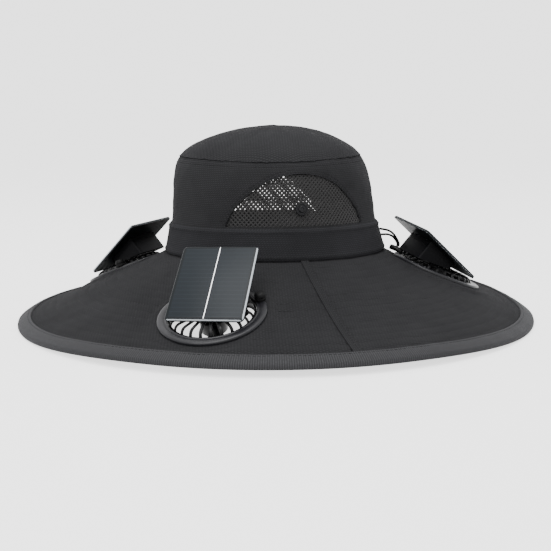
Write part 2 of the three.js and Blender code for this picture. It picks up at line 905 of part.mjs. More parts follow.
add(hat, 'crown_tip', crownTip(), 'cloth');
add(hat, 'crown_wall', crownWall(), 'cloth');
add(hat, 'hat_band', hatBand(), 'band');
add(hat, 'brim', brim(), 'cloth');
add(hat, 'brim_binding', brimBinding(), 'tape');
add(hat, 'window_net_near', windowNet(sideAzimuth), 'net');
add(hat, 'window_net_far', windowNet(sideAzimuth + 180), 'net');
add(hat, 'snap_stud_near', snapStud(sideAzimuth), 'metal');
add(hat, 'snap_stud_far', snapStud(sideAzimuth + 180), 'metal');

for (const frame of fanFrames) {
  const fan = new THREE.Group();
  fan.applyMatrix4(frame.matrix);
  hat.add(fan);
  add(fan, 'flange_' + frame.name, flange(), 'flange');
  add(fan, 'back_ring_' + frame.name, backRing(), 'black');
  add(fan, 'guard_' + frame.name, guard(), 'black');
  add(fan, 'motor_' + frame.name, motor(), 'grey');
  add(fan, 'impeller_' + frame.name, impeller(), 'black');
  add(fan, 'battery_box_' + frame.name, batteryBox(), 'grey');
  add(fan, 'solar_panel_' + frame.name, solarPanel(), 'panel');
  add(fan, 'cable_lug_' + frame.name, cableLug(), 'rubber');
  if (frame.name === 'right') {
    add(fan, 'lead_plug', leadPlug(), 'black');
    add(fan, 'lead_tail', leadTail(), 'black');
  }
}

for (const wire of leadWires) {
  add(hat, wire.name, leadWire(wire), 'black');
}

export default hat;
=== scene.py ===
import math
import bmesh
import bpy
from mathutils import Matrix, Vector, noise


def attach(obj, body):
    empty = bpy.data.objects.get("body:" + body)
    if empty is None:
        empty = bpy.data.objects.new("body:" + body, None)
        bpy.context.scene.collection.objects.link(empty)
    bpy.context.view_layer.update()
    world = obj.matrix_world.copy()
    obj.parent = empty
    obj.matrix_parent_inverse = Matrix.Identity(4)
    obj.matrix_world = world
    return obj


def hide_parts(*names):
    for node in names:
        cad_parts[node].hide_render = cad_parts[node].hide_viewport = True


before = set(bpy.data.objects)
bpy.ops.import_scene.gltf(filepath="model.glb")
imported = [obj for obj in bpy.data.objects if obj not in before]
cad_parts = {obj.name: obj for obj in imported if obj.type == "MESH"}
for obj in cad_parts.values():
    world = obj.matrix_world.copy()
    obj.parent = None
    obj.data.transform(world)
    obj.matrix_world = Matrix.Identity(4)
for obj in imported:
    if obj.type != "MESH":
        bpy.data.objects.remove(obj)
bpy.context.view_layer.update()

# Crown: a soft oval cap of black cotton twill, a domed tip sewn to a tapering wall.
# The wall is cut to one pattern in millimetres, kept here for everything sewn to it.
MM = 0.001
RIM_RADIUS = 225
CROWN_LONG, CROWN_SHORT, CROWN_FOOT = 98, 91, 58
WALL_HEIGHT, DOME_RISE = 80, 28
CROWN_LEAN, CROWN_LEAN_AZIMUTH = 3, -73.5
CLOTH, BAND_CLOTH, BAND_HEIGHT, GAP = 1.5, 1.2, 25, 0.3
SIDE_AZIMUTH = 31.5
WALL_SECTIONS = [  # rise, share of the foot's radius
    (0, 1), (0.32, 0.941), (0.55, 0.916), (0.75, 0.9), (0.9, 0.87), (1, 0.828),
]
DOME_SECTIONS = [  # way out from the middle, rise
    (0, 1), (0.3, 0.94), (0.56, 0.76), (0.78, 0.5), (0.93, 0.22), (1, 0),
]
CROWN_DENTS = [  # azimuth, spread, rise, height, depth
    (-20, 16, 0.93, 0.2, 1.1), (40, 14, 0.97, 0.14, -0.7), (98, 15, 0.95, 0.18, 0.9),
    (150, 20, 0.8, 0.3, 1.0), (-140, 22, 0.85, 0.25, 1.1), (-75, 14, 0.96, 0.15, -0.8),
]
SEAM_HEIGHT = CROWN_FOOT + WALL_HEIGHT


def turn_to(azimuth, radius, height):
    """A point, its azimuth counted from -Y towards +X."""
    angle = math.radians(azimuth)
    return Vector((radius * math.sin(angle), -radius * math.cos(angle), height))


def through(rows, at):
    """Smooth curve through the rows of a table."""
    i = 0
    while i < len(rows) - 2 and at > rows[i + 1][0]:
        i += 1

    def slope(j):
        a, b = rows[max(j - 1, 0)], rows[min(j + 1, len(rows) - 1)]
        return (b[1] - a[1]) / (b[0] - a[0])

    span = rows[i + 1][0] - rows[i][0]
    t = min(max((at - rows[i][0]) / span, 0), 1)
    bend = t * (1 - t) * span * ((1 - t) * slope(i) - t * slope(i + 1))
    return rows[i][1] + (rows[i + 1][1] - rows[i][1]) * t * t * (3 - 2 * t) + bend


def angle_between(a, b):
    return (a - b + 540) % 360 - 180


def foot_radius(azimuth):
    angle = math.radians(azimuth - SIDE_AZIMUTH - 90)
    return CROWN_LONG * CROWN_SHORT / math.hypot(CROWN_SHORT * math.cos(angle), CROWN_LONG * math.sin(angle))


def wall_radius(azimuth, rise):
    dents = sum(
        depth * CLOTH * math.exp(-(angle_between(azimuth, at) / spread) ** 2 - ((rise - level) / height) ** 2)
        for at, spread, level, height, depth in CROWN_DENTS
    )
    lean = CROWN_LEAN * max(rise, 0) * math.cos(math.radians(azimuth - CROWN_LEAN_AZIMUTH))
    return (foot_radius(azimuth) - BAND_CLOTH - GAP) * through(WALL_SECTIONS, rise) + lean - dents


def wall_point(azimuth, height, offset):
    return turn_to(azimuth, wall_radius(azimuth, (height - CROWN_FOOT) / WALL_HEIGHT) + offset, height)


def linear(code):
    """sRGB hex to linear colour."""
    parts = [int(code[i:i + 2], 16) / 255 for i in (1, 3, 5)]
    return [c / 12.92 if c <= 0.04045 else ((c + 0.055) / 1.055) ** 2.4 for c in parts] + [1]


def node(tree, kind, settings=None, links=None):
    """Adds a node: attributes in small letters, inputs by their name or number, and what feeds them."""
    made = tree.nodes.new(kind)
    for key, value in (settings or {}).items():
        if isinstance(key, str) and key[0].islower():
            setattr(made, key, value)
    for key, value in (settings or {}).items():
        if isinstance(key, int) or key[0].isupper():
            made.inputs[key].default_value = value
    for key, socket in (links or {}).items():
        tree.links.new(socket, made.inputs[key])
    return made


def new_material(name, settings):
    """A material with its Principled shader set."""
    made = bpy.data.materials.new(name)
    made.use_nodes = True
    shader = made.node_tree.nodes["Principled BSDF"]
    for key, value in settings.items():
        shader.inputs[key].default_value = value
    return made, made.node_tree, shader


def mixed(tree, share, dark, light):
    """A tone that goes from one colour to another, as a socket."""
    tones = {"data_type": "RGBA", 6: linear(dark), 7: linear(light)}
    return node(tree, "ShaderNodeMix", tones, {0: share}).outputs[2]


def finish_mesh(name, bm, material, sharp=None):
    """Closes doubles, turns faces out and makes the object, from millimetres to metres."""
    bmesh.ops.remove_doubles(bm, verts=bm.verts, dist=1e-4)
    bmesh.ops.recalc_face_normals(bm, faces=bm.faces)
    bmesh.ops.scale(bm, vec=(MM, MM, MM), verts=bm.verts)
    mesh = bpy.data.meshes.new(name)
    bm.to_mesh(mesh)
    bm.free()
    mesh.shade_smooth()
    if sharp:
        mesh.set_sharp_from_angle(angle=math.radians(sharp))
    mesh.materials.append(material)
    made = bpy.data.objects.new(name, mesh)
    bpy.context.collection.objects.link(made)
    return made


def sewn_shell(name, outer, inner, closed, uv_of, material, sharp=50):
    """Cloth between two grids of points, with a UV map in millimetres of cloth."""
    bm = bmesh.new()
    layer = bm.loops.layers.uv.new("cloth")
    rows, count = len(outer), len(outer[0])
    verts = [bm.verts.new(p) for grid in (outer, inner) for ring in grid for p in ring]
    last = count if closed else count - 1

    def quad(*cells):
        face = bm.faces.new([verts[(side * rows + row) * count + i % count] for side, row, i in cells])
        for loop, (side, row, i) in zip(face.loops, cells):
            loop[layer].uv = uv_of(row, i)

    for i in range(last):
        for row in range(rows - 1):
            quad((0, row, i), (0, row, i + 1), (0, row + 1, i + 1), (0, row + 1, i))
            quad((1, row, i), (1, row + 1, i), (1, row + 1, i + 1), (1, row, i + 1))
        quad((0, 0, i), (1, 0, i), (1, 0, i + 1), (0, 0, i + 1))
        quad((0, rows - 1, i), (0, rows - 1, i + 1), (1, rows - 1, i + 1), (1, rows - 1, i))
    if not closed:
        for row in range(rows - 1):
            quad((0, row, 0), (0, row + 1, 0), (1, row + 1, 0), (1, row, 0))
            quad((0, row, last), (1, row, last), (1, row + 1, last), (0, row + 1, last))
    return finish_mesh(name, bm, material, sharp)


# At this scale a wave texture repeats once in each millimetre of cloth
WAVE_SPAN = math.tau / 20
# Threads of 0.5 mm are drawn 1.5 mm apart, because finer ones vanish in the picture
TWILL_PITCH, TWILL_SLANT = 1.5, 50
WEAVE_DEPTH = 0.3 * MM


def cotton_twill(name, colour, sheen):
    """Woven cotton: matt, with a little fuzz, a diagonal twill line and a faint uneven dye."""
    made, tree, shader = new_material(name, {
        "Roughness": 0.95, "Specular IOR Level": 0.03, "Sheen Weight": sheen, "Sheen Roughness": 0.5,
    })
    shader.inputs["Sheen Tint"].default_value = linear("#c8c8d2")
    cloth = node(tree, "ShaderNodeUVMap", {"uv_map": "cloth"})
    flat = {"Vector": cloth.outputs[0]}
    slant = node(tree, "ShaderNodeMapping", {"Rotation": (0, 0, math.radians(TWILL_SLANT))}, flat)
    twill = node(tree, "ShaderNodeTexWave", {
        "Scale": WAVE_SPAN / TWILL_PITCH, "Distortion": 1.2, "Detail": 1, "Detail Scale": 2,
    }, {"Vector": slant.outputs[0]})
    weft = node(tree, "ShaderNodeTexWave", {
        "bands_direction": "Y", "Scale": WAVE_SPAN / TWILL_PITCH, "Distortion": 0.8, "Detail": 1,
    }, flat)
    place = node(tree, "ShaderNodeTexCoord")
    dye = node(
        tree, "ShaderNodeTexNoise", {"Scale": 22, "Detail": 5, "Roughness": 0.6},
        {"Vector": place.outputs["Object"]},
    )
    fuzz = node(tree, "ShaderNodeTexNoise", {"Scale": 1.1, "Detail": 2, "Roughness": 0.7}, flat)
    shade = mixed(tree, dye.outputs["Fac"], *colour)
    lines = node(
        tree, "ShaderNodeMath", {"operation": "MULTIPLY"},
        {0: twill.outputs["Fac"], 1: weft.outputs["Fac"]},
    )
    grain = node(
        tree, "ShaderNodeMath", {"operation": "MULTIPLY_ADD", 1: 0.5},
        {0: fuzz.outputs["Fac"], 2: lines.outputs[0]},
    )
    spread = node(
        tree, "ShaderNodeMapRange", {"From Min": 0.1, "From Max": 1.2, "To Min": 0.55, "To Max": 1.4},
        {"Value": grain.outputs[0]},
    )
    tone = node(tree, "ShaderNodeVectorMath", {"operation": "SCALE"}, {0: shade, "Scale": spread.outputs[0]})
    bump = node(
        tree, "ShaderNodeBump", {"Strength": 0.5, "Distance": WEAVE_DEPTH}, {"Height": grain.outputs[0]},
    )
    tree.links.new(tone.outputs[0], shader.inputs["Base Color"])
    tree.links.new(bump.outputs[0], shader.inputs["Normal"])
    return made


crown_cotton = cotton_twill("cotton_twill_crown", ("#161617", "#232324"), 0.012)
CROWN_STEPS = 240
CREASES = [(1, 3.1, 23), (0.4, 11, 9)]  # share of the size, waves round the crown, height in mm
CREASE_SIZE, PUCKER_SIZE = 0.9, 0.7
PUCKER_WAVES, PUCKER_REACH = 26, 5
SWAY, SWAY_AZIMUTH = 2.2, 106.5


def crease(azimuth, height, size):
    """Soft unevenness of sewn cloth, in millimetres."""
    at = turn_to(azimuth, 1, 0)
    return sum(
        size * share * noise.noise(Vector((at.x * waves, at.y * waves, height / tall)))
        for share, waves, tall in CREASES
    )


def pucker(azimuth, near, size):
    """Fine gathers along a seam, fading with the distance from it in millimetres."""
    at = turn_to(azimuth, 1, 0)
    waves = noise.noise(Vector((at.x * PUCKER_WAVES, at.y * PUCKER_WAVES, 4)))
    return size * waves * math.exp(-near / PUCKER_REACH)


def seam_sway(azimuth):
    """Rise of the top seam in millimetres: up at the sides, down at the front and back."""
    return SWAY * math.cos(math.radians(2 * (azimuth - SWAY_AZIMUTH)))


tip_outer, tip_inner = [], []
TIP_ROWS, ROW_EASE = 34, 1.15
ROLL_DEPTH, ROLL_WIDTH = 0.3, 1.5
for j in range(TIP_ROWS + 1):
    out = 1 - (j / TIP_ROWS) ** ROW_EASE
    ring, under = [], []
    for i in range(CROWN_STEPS):
        azimuth = i * 360 / CROWN_STEPS
        seam = wall_radius(azimuth, 1)
        rise = DOME_RISE * through(DOME_SECTIONS, out)
        near = (1 - out) * seam
        # The tip's edge rolls over the seam
        roll = ROLL_DEPTH * math.exp(-(near / ROLL_WIDTH) ** 2)
        loose = crease(azimuth, 140 + near, CREASE_SIZE) * (1 - out ** 6)
        loose += pucker(azimuth, near, PUCKER_SIZE)
        loose += seam_sway(azimuth) * out ** 3
        height = SEAM_HEIGHT + GAP + rise + loose
        ring.append(turn_to(azimuth, seam * out + roll, height))
        under.append(turn_to(azimuth, max(seam * out - CLOTH * out, 0), height - CLOTH * (1 - out ** 8)))
    tip_outer.append(ring)
    tip_inner.append(under)


TIP_CLOTH_RADIUS = 76


def tip_uv(row, i):
    out = (1 - (row / TIP_ROWS) ** ROW_EASE) * TIP_CLOTH_RADIUS
    angle = math.radians(i * 360 / CROWN_STEPS)
    return out * math.sin(angle), -out * math.cos(angle)


crown_tip = sewn_shell("crown_tip_cloth", tip_outer, tip_inner, True, tip_uv, crown_cotton)
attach(crown_tip, "hat")
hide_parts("crown_tip")

# Wall of the crown: one strip of the same twill, sewn to the tip. Its two half-moon openings are
# cut out, and their edges turned under and stitched down over the net.
WINDOW_HALF, WINDOW_HEIGHT, WINDOW_LIFT = 42.5, 43, 1.5
WINDOW_FOOT = CROWN_FOOT + BAND_HEIGHT + WINDOW_LIFT
WINDOW_MIDDLES = (SIDE_AZIMUTH, SIDE_AZIMUTH + 180)
WINDOW_ROUND = 0.72
FOOT_ROWS, TOP_ROWS = 12, 30
WINDOW_COLUMNS, PLAIN_COLUMNS = 72, 66
TUCK_DEPTH, TUCK_WIDTH = 0.5, 1.2
LOOSE_FROM = 12
WALL_CLOTH_RADIUS = 90


def window_top(offset):
    share = min(abs(offset) / WINDOW_HALF, 1)
    return WINDOW_FOOT + WINDOW_HEIGHT * (1 - share * share) ** WINDOW_ROUND


def wall_surface(azimuth, height, offset):
    """The sewn wall: the cut pattern with the creases that the cloth takes."""
    free = min(max((height - CROWN_FOOT - BAND_HEIGHT) / LOOSE_FROM, 0), 1)
    loose = crease(azimuth, height, CREASE_SIZE) * free
    loose += pucker(azimuth, SEAM_HEIGHT - height, PUCKER_SIZE)
    tuck = -TUCK_DEPTH * math.exp(-((SEAM_HEIGHT - height) / TUCK_WIDTH) ** 2)
    point = wall_point(azimuth, height, offset + loose + tuck)
    point.z += seam_sway(azimuth) * max((height - WINDOW_FOOT) / (SEAM_HEIGHT - WINDOW_FOOT), 0) ** 3
    return point


columns = []
for middle in WINDOW_MIDDLES:
    for k in range(WINDOW_COLUMNS):
        columns.append((middle - WINDOW_HALF * math.cos(math.pi * k / WINDOW_COLUMNS), True))
    for k in range(PLAIN_COLUMNS):
        columns.append((middle + WINDOW_HALF + (180 - 2 * WINDOW_HALF) * k / PLAIN_COLUMNS, False))
bm = bmesh.new()
cloth_uv = bm.loops.layers.uv.new("cloth")
heights, grid = [], {0: [], 1: []}
for azimuth, in_window in columns:
    offset = min(abs(angle_between(azimuth, m)) for m in WINDOW_MIDDLES)
    top = window_top(offset) if in_window else WINDOW_FOOT
    low = CROWN_FOOT - CLOTH
    rows = [low + (WINDOW_FOOT - low) * k / FOOT_ROWS for k in range(FOOT_ROWS)]
    rows.append(WINDOW_FOOT)
    rows += [top + (SEAM_HEIGHT - top) * (k / TOP_ROWS) ** 0.9 for k in range(TOP_ROWS + 1)]
    heights.append(rows)
    for side in (0, 1):
        grid[side].append([bm.verts.new(wall_surface(azimuth, h, -CLOTH * side)) for h in rows])

wall_rows = FOOT_ROWS + 1 + TOP_ROWS


def wall_quad(*cells):
    face = bm.faces.new([grid[side][i % len(columns)][row] for side, i, row in cells])
    for loop, (side, i, row) in zip(face.loops, cells):
        turn = columns[i % len(columns)][0] + (360 if i >= len(columns) else 0)
        loop[cloth_uv].uv = (math.radians(turn) * WALL_CLOTH_RADIUS, heights[i % len(columns)][row])


for i in range(len(columns)):
    hole = columns[i][1]
    for row in range(wall_rows):
        if row == FOOT_ROWS:
            if hole:
                wall_quad((0, i, row), (0, i + 1, row), (1, i + 1, row), (1, i, row))
                wall_quad((1, i, row + 1), (1, i + 1, row + 1), (0, i + 1, row + 1), (0, i, row + 1))
            continue
        wall_quad((0, i, row), (0, i + 1, row), (0, i + 1, row + 1), (0, i, row + 1))
        wall_quad((1, i, row + 1), (1, i + 1, row + 1), (1, i + 1, row), (1, i, row))
    wall_quad((1, i, 0), (1, i + 1, 0), (0, i + 1, 0), (0, i, 0))
    wall_quad((0, i, wall_rows), (0, i + 1, wall_rows), (1, i + 1, wall_rows), (1, i, wall_rows))
crown_wall = finish_mesh("crown_wall_cloth", bm, crown_cotton, 50)
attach(crown_wall, "hat")
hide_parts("crown_wall")

# Nets in the openings: black polyester mesh of thin threads knitted together, caught under the edge
# of the opening. Really open, so the hollow crown shows through. The real yarn and its cells would
# vanish in the picture, so both are drawn about twice as coarse.
NET_CELL = 3.7
NET_THREADS = {"near": 1.9, "far": 1.1}
NET_BEHIND, NET_HEM, NET_TURN_IN = 0.4, 2, 1.8
NET_WALL_RADIUS = 86
NET_REACH = range(-30, 60)
FAR_STRETCH, FAR_LEAN, FAR_START = 1.41, 8, 18
THREAD_SIDES = 5


def new_tree(name, inputs):
    """A Geometry Nodes tree with a mesh in and out, and its named inputs."""
    tree = bpy.data.node_groups.new(name, "GeometryNodeTree")
    tree.interface.new_socket("Geometry", in_out="INPUT", socket_type="NodeSocketGeometry")
    tree.interface.new_socket("Geometry", in_out="OUTPUT", socket_type="NodeSocketGeometry")
    for label, kind in inputs:
        tree.interface.new_socket(label, in_out="INPUT", socket_type="NodeSocket" + kind)
    return tree, node(tree, "NodeGroupInput").outputs


def grow(name, tree, bm, values, sharp=None):
    """Runs a tree on a mesh in millimetres, keeps the result as a plain mesh and drops the modifier."""
    mesh = bpy.data.meshes.new(name + "_guide")
    bmesh.ops.scale(bm, vec=(MM, MM, MM), verts=bm.verts)
    bm.to_mesh(mesh)
    bm.free()
    guide = bpy.data.objects.new(name + "_guide", mesh)
    bpy.context.collection.objects.link(guide)
    modifier = guide.modifiers.new("grow", "NODES")
    modifier.node_group = tree
    for item in tree.interface.items_tree:
        if item.in_out == "INPUT" and item.name in values:
            modifier[item.identifier] = values[item.name]
    bpy.context.view_layer.update()
    held = guide.evaluated_get(bpy.context.evaluated_depsgraph_get())
    result = bpy.data.meshes.new_from_object(held)
    guide.modifiers.remove(modifier)
    bpy.data.objects.remove(guide)
    result.name = name
    result.shade_smooth()
    if sharp:
        result.set_sharp_from_angle(angle=math.radians(sharp))
    made = bpy.data.objects.new(name, result)
    bpy.context.collection.objects.link(made)
    return made


def end_tree(tree, grown, material):
    """Makes real what a tree has grown, gives it its material and leads it out."""
    real = node(tree, "GeometryNodeRealizeInstances", links={"Geometry": grown})
    dressed = node(tree, "GeometryNodeSetMaterial", links={"Geometry": real.outputs[0], "Material": material})
    node(tree, "NodeGroupOutput", links={"Geometry": dressed.outputs[0]})


def flecked(name, settings, scale, detail, dark, light):
    """A finish in two close tones that change in small flecks, their scale counted to the metre."""
    made, tree, shader = new_material(name, settings)
    place = node(tree, "ShaderNodeTexCoord").outputs["Object"]
    fleck = node(tree, "ShaderNodeTexNoise", {"Scale": scale, "Detail": detail}, {"Vector": place})
    tree.links.new(mixed(tree, fleck.outputs["Fac"], dark, light), shader.inputs["Base Color"])
    return made


thread_tree, given = new_tree("threads_along_edges", [("Radius", "Float"), ("Material", "Material")])
lines = node(thread_tree, "GeometryNodeMeshToCurve", links={"Mesh": given["Geometry"]})
section = node(
    thread_tree, "GeometryNodeCurvePrimitiveCircle", {"Resolution": THREAD_SIDES},
    {"Radius": given["Radius"]},
)
tubes = node(thread_tree, "GeometryNodeCurveToMesh", {"Fill Caps": True}, {
    "Curve": lines.outputs[0], "Profile Curve": section.outputs[0],
})
end_tree(thread_tree, tubes.outputs[0], given["Material"])

# Knitted yarn catches light in short flecks, drawn 1.2 mm long
net_polyester = flecked("polyester_net", {
    "Roughness": 0.6, "Specular IOR Level": 0.15, "Sheen Weight": 0.03,
}, 850, 2, "#0c0c0d", "#1c1b1b")

for side, middle in zip(("near", "far"), WINDOW_MIDDLES):
    bm = bmesh.new()
    found = {}

    def knot(a, b):
        """A knot of the net, on a diagonal grid in the near net and an upright one in the far net."""
        run, climb = a - b, a + b
        if side == "far":
            run, climb = FAR_STRETCH * (a - b / FAR_LEAN - FAR_START), FAR_STRETCH * b
        offset = math.degrees(run * NET_CELL / 2 / NET_WALL_RADIUS)
        height = WINDOW_FOOT - NET_HEM + climb * NET_CELL / 2
        low, high = WINDOW_FOOT - NET_TURN_IN, window_top(offset) + 1
        if abs(offset) > WINDOW_HALF or height > high or height < low:
            return None
        if (a, b) not in found:
            found[a, b] = bm.verts.new(wall_surface(middle + offset, height, -CLOTH - NET_BEHIND))
        return found[a, b]

    for a in NET_REACH:
        for b in NET_REACH:
            for other in ((a + 1, b), (a, b + 1)):
                ends = knot(a, b), knot(*other)
                if all(ends):
                    bm.edges.new(ends)
    net = grow("window_net_" + side + "_threads", thread_tree, bm, {
        "Radius": NET_THREADS[side] / 2 * MM, "Material": net_polyester,
    })
    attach(net, "hat")
    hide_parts("window_net_" + side)

# Snap studs: black enamelled steel caps pressed through the middle of each net,
# with a raised button in a shallow dish.
STUD_OUTLINE = [  # radius, height
    (0, 0), (5, 0), (5, 0.7), (4.7, 1.1), (4.1, 1.2), (3.7, 0.8), (2.9, 0.8), (2.6, 1.8), (2.2, 2.2),
    (1.5, 2.2), (1.2, 1.7), (0, 1.7),
]
STUD_RISE = 14


def turned_mesh(bm, outline, steps, place=Matrix()):
    """Turns a closed outline of (radius, height) about Z."""
    rings = []
    for k in range(steps):
        a = math.tau * k / steps
        spots = [Vector((r * math.cos(a), r * math.sin(a), z)) for r, z in outline]
        rings.append([bm.verts.new(place @ spot) for spot in spots])
    for k in range(steps):
        for j in range(len(outline)):
            n = (j + 1) % len(outline)
            if outline[j][0] == 0 and outline[n][0] == 0:
                continue
            bm.faces.new((rings[k][j], rings[(k + 1) % steps][j], rings[(k + 1) % steps][n], rings[k][n]))


def turned_piece(name, outline, steps, place, material, sharp, replaced):
    """A turned piece of the hat, which stands for one node of the frame."""
    bm = bmesh.new()
    turned_mesh(bm, outline, steps, place)
    made = finish_mesh(name, bm, material, sharp)
    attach(made, "hat")
    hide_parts(replaced)


# Baked enamel is even and black, with a soft gloss and wear in specks of about 1 mm
stud_enamel = flecked("enamelled_steel_stud", {
    "Roughness": 0.4, "Specular IOR Level": 0.12, "Coat Weight": 0.06, "Coat Roughness": 0.2,
}, 900, 3, "#050506", "#0c0c0f")
for side, middle in zip(("near", "far"), WINDOW_MIDDLES):
    height = WINDOW_FOOT + STUD_RISE
    seat = wall_point(middle, height, GAP - (CLOTH - 1) / 2)
    up = wall_point(middle, height + 1, 0) - wall_point(middle, height, 0)
    across = wall_point(middle + 1, height, 0) - wall_point(middle, height, 0)
    turn = across.cross(up).normalized().to_track_quat("Z", "Y").to_matrix().to_4x4()
    turned_piece("snap_stud_" + side + "_cap", STUD_OUTLINE, 40, Matrix.Translation(seat) @ turn,
                 stud_enamel, 40, "snap_stud_" + side)

# Hat band: a strip of the same twill sewn round the foot of the crown, over the edge of the nets,
# its edges folded in so that they are a little thicker than its middle.
band_cotton = cotton_twill("cotton_twill_band", ("#161617", "#202022"), 0.01)
band_outer, band_inner = [], []
BAND_ROWS, BAND_PUFF, BAND_CLOTH_RADIUS = 14, 0.35, 93
BAND_WAVE, BAND_PUCKER = 0.35, 0.25
for j in range(BAND_ROWS + 1):
    share = j / BAND_ROWS
    height = CROWN_FOOT + share * BAND_HEIGHT
    edge = min(share, 1 - share) * BAND_HEIGHT
    fold = 0.5 * math.exp(-((edge - 2.2) / 1.6) ** 2) - 0.9 * math.exp(-(edge / 0.8) ** 2)
    ring, under = [], []
    for i in range(CROWN_STEPS):
        azimuth = i * 360 / CROWN_STEPS
        loose = crease(azimuth, height, BAND_WAVE) + pucker(azimuth, edge, BAND_PUCKER)
        ring.append(wall_point(azimuth, height, GAP + BAND_CLOTH + BAND_PUFF + fold + loose))
        under.append(wall_point(azimuth, height, GAP))
    band_outer.append(ring)
    band_inner.append(under)


def band_uv(row, i):
    return math.radians(i * 360 / CROWN_STEPS) * BAND_CLOTH_RADIUS, row * BAND_HEIGHT / BAND_ROWS


hat_band = sewn_shell("hat_band_cloth", band_outer, band_inner, True, band_uv, band_cotton)
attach(hat_band, "hat")
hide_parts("hat_band")

# Brim: two half rings of twill over a soft filling, quilted in rings about 9 mm apart, with a round
# hole for each fan. The fans' flanges draw it flat, and it curls up a little at the front and back.
BRIM_SECTIONS = [  # way out, share of the fall
    (0, 0), (0.18, 0.2), (0.36, 0.39), (0.54, 0.575), (0.72, 0.74), (0.94, 0.925), (1, 1),
]
RIM_LIFTS = [  # azimuth, spread, share of the brim's fall
    (-6, 45, 0.09), (39, 45, 0.09), (142, 40, 0.11),
]
TAPE_CLOTH, TAPE_WIDTH = 1.2, 11
EDGE_HEIGHT = TAPE_CLOTH + GAP + CLOTH
BRIM_EDGE = RIM_RADIUS - TAPE_CLOTH - GAP
DUCT_RADIUS, FLANGE_RADIUS, COLLAR_WALL = 33, 40.5, 2
SEAT_FLAT, SEAT_BLEND = FLANGE_RADIUS + 3, FLANGE_RADIUS + 9
FAN_SEATS = [  # name, azimuth, reach as a share of the rim's radius, slope, turn
    ("front", 0, 0.721, 20.5, 4.3),
    ("right", 106, 0.64, 22, 23.5),
    ("left", -94.5, 0.664, 22, -10.5),
]
QUILT_RINGS, QUILT_PUFF, QUILT_WAVE = 13, 0.75, 0.35
DUCT_CUT = 37.2
BRIM_CLOTH_FOOT, BRIM_CLOTH_WIDTH = 97, 126


def brim_inner(azimuth):
    return wall_radius(azimuth, 0) + GAP


def rim_lift(azimuth):
    share = 0
    for at, spread, lift in RIM_LIFTS:
        side = angle_between(azimuth, at) / spread
        if abs(side) < 1:
            share += lift * math.cos(side * math.pi / 2) ** 2
    return share * (CROWN_FOOT - EDGE_HEIGHT)


def brim_fall(x, y):
    azimuth = math.degrees(math.atan2(x, -y))
    inner = brim_inner(azimuth)
    out = min(max((math.hypot(x, y) - inner) / (BRIM_EDGE - inner), 0), 1)
    fall = (CROWN_FOOT - GAP - EDGE_HEIGHT) * through(BRIM_SECTIONS, out)
    return CROWN_FOOT - GAP - fall + rim_lift(azimuth) * out * out


fan_places = {}
for fan, azimuth, reach, slope, turn in FAN_SEATS:
    centre = turn_to(azimuth, reach * RIM_RADIUS, 0)
    centre.z = brim_fall(centre.x, centre.y)
    place = Matrix.Translation(centre)
    for angle, axis in ((azimuth, "Z"), (slope, "X"), (turn, "Z")):
        place = place @ Matrix.Rotation(math.radians(angle), 4, axis)
    fan_places[fan] = place


def seat_share(x, y, place, flat, blend):
    """1 where a flange holds the brim flat, 0 away from it."""
    away = math.hypot(x - place.translation.x, y - place.translation.y)
    t = min(max((away - flat) / (blend - flat), 0), 1)
    return 1 - t * t * (3 - 2 * t)


def brim_top(x, y):
    height = brim_fall(x, y)
    for place in fan_places.values():
        centre, up = place.translation, place.col[2]
        plane = centre.z - ((x - centre.x) * up.x + (y - centre.y) * up.y) / up.z
        height += (plane - height) * seat_share(x, y, place, SEAT_FLAT, SEAT_BLEND)
    return height


def quilt(azimuth, radius, x, y):
    """Cloth puffed between the rings of stitches, flat under the tape and the flanges."""
    inner = brim_inner(azimuth)
    along = (radius - inner) / (RIM_RADIUS - TAPE_WIDTH - inner) * (QUILT_RINGS + 0.5)
    if along > QUILT_RINGS + 0.4:
        return -0.25
    puff = abs(math.sin(math.pi * along)) ** 0.55
    near, far = FLANGE_RADIUS + 1, FLANGE_RADIUS + 7
    calm = max(seat_share(x, y, place, near, far) for place in fan_places.values())
    at = turn_to(azimuth, radius / 14, 0)
    loose = QUILT_WAVE * noise.noise(Vector((at.x, at.y, 2)))
    return (QUILT_PUFF * (puff - 0.8) + loose) * (1 - calm)


BRIM_ROWS, BRIM_STEPS = 104, 400
bm = bmesh.new()
cloth_uv = bm.loops.layers.uv.new("cloth")
brim_grid = {}
for j in range(BRIM_ROWS + 1):
    for i in range(BRIM_STEPS):
        azimuth = i * 360 / BRIM_STEPS
        inner = brim_inner(azimuth)
        radius = inner + (BRIM_EDGE - inner) * j / BRIM_ROWS
        flat = turn_to(azimuth, radius, 0)
        top = brim_top(flat.x, flat.y)
        puff = quilt(azimuth, radius, flat.x, flat.y)
        brim_grid[0, j, i] = bm.verts.new((flat.x, flat.y, top + puff))
        brim_grid[1, j, i] = bm.verts.new((flat.x, flat.y, top - CLOTH - 0.5 * puff))


def in_duct(j, i):
    """Whether a cell of the brim is cut away for a fan."""
    if not 0 <= j < BRIM_ROWS:
        return False
    a, b = brim_grid[0, j, i % BRIM_STEPS].co, brim_grid[0, j + 1, (i + 1) % BRIM_STEPS].co
    middle = (a + b) / 2
    return any(math.hypot(*(place.inverted() @ middle).xy) < DUCT_CUT for place in fan_places.values())


def brim_quad(*cells):
    face = bm.faces.new([brim_grid[side, j, i % BRIM_STEPS] for side, j, i in cells])
    for loop, (side, j, i) in zip(face.loops, cells):
        radius = BRIM_CLOTH_FOOT + BRIM_CLOTH_WIDTH * j / BRIM_ROWS
        angle = math.tau * i / BRIM_STEPS
        loop[cloth_uv].uv = (radius * math.sin(angle), -radius * math.cos(angle))


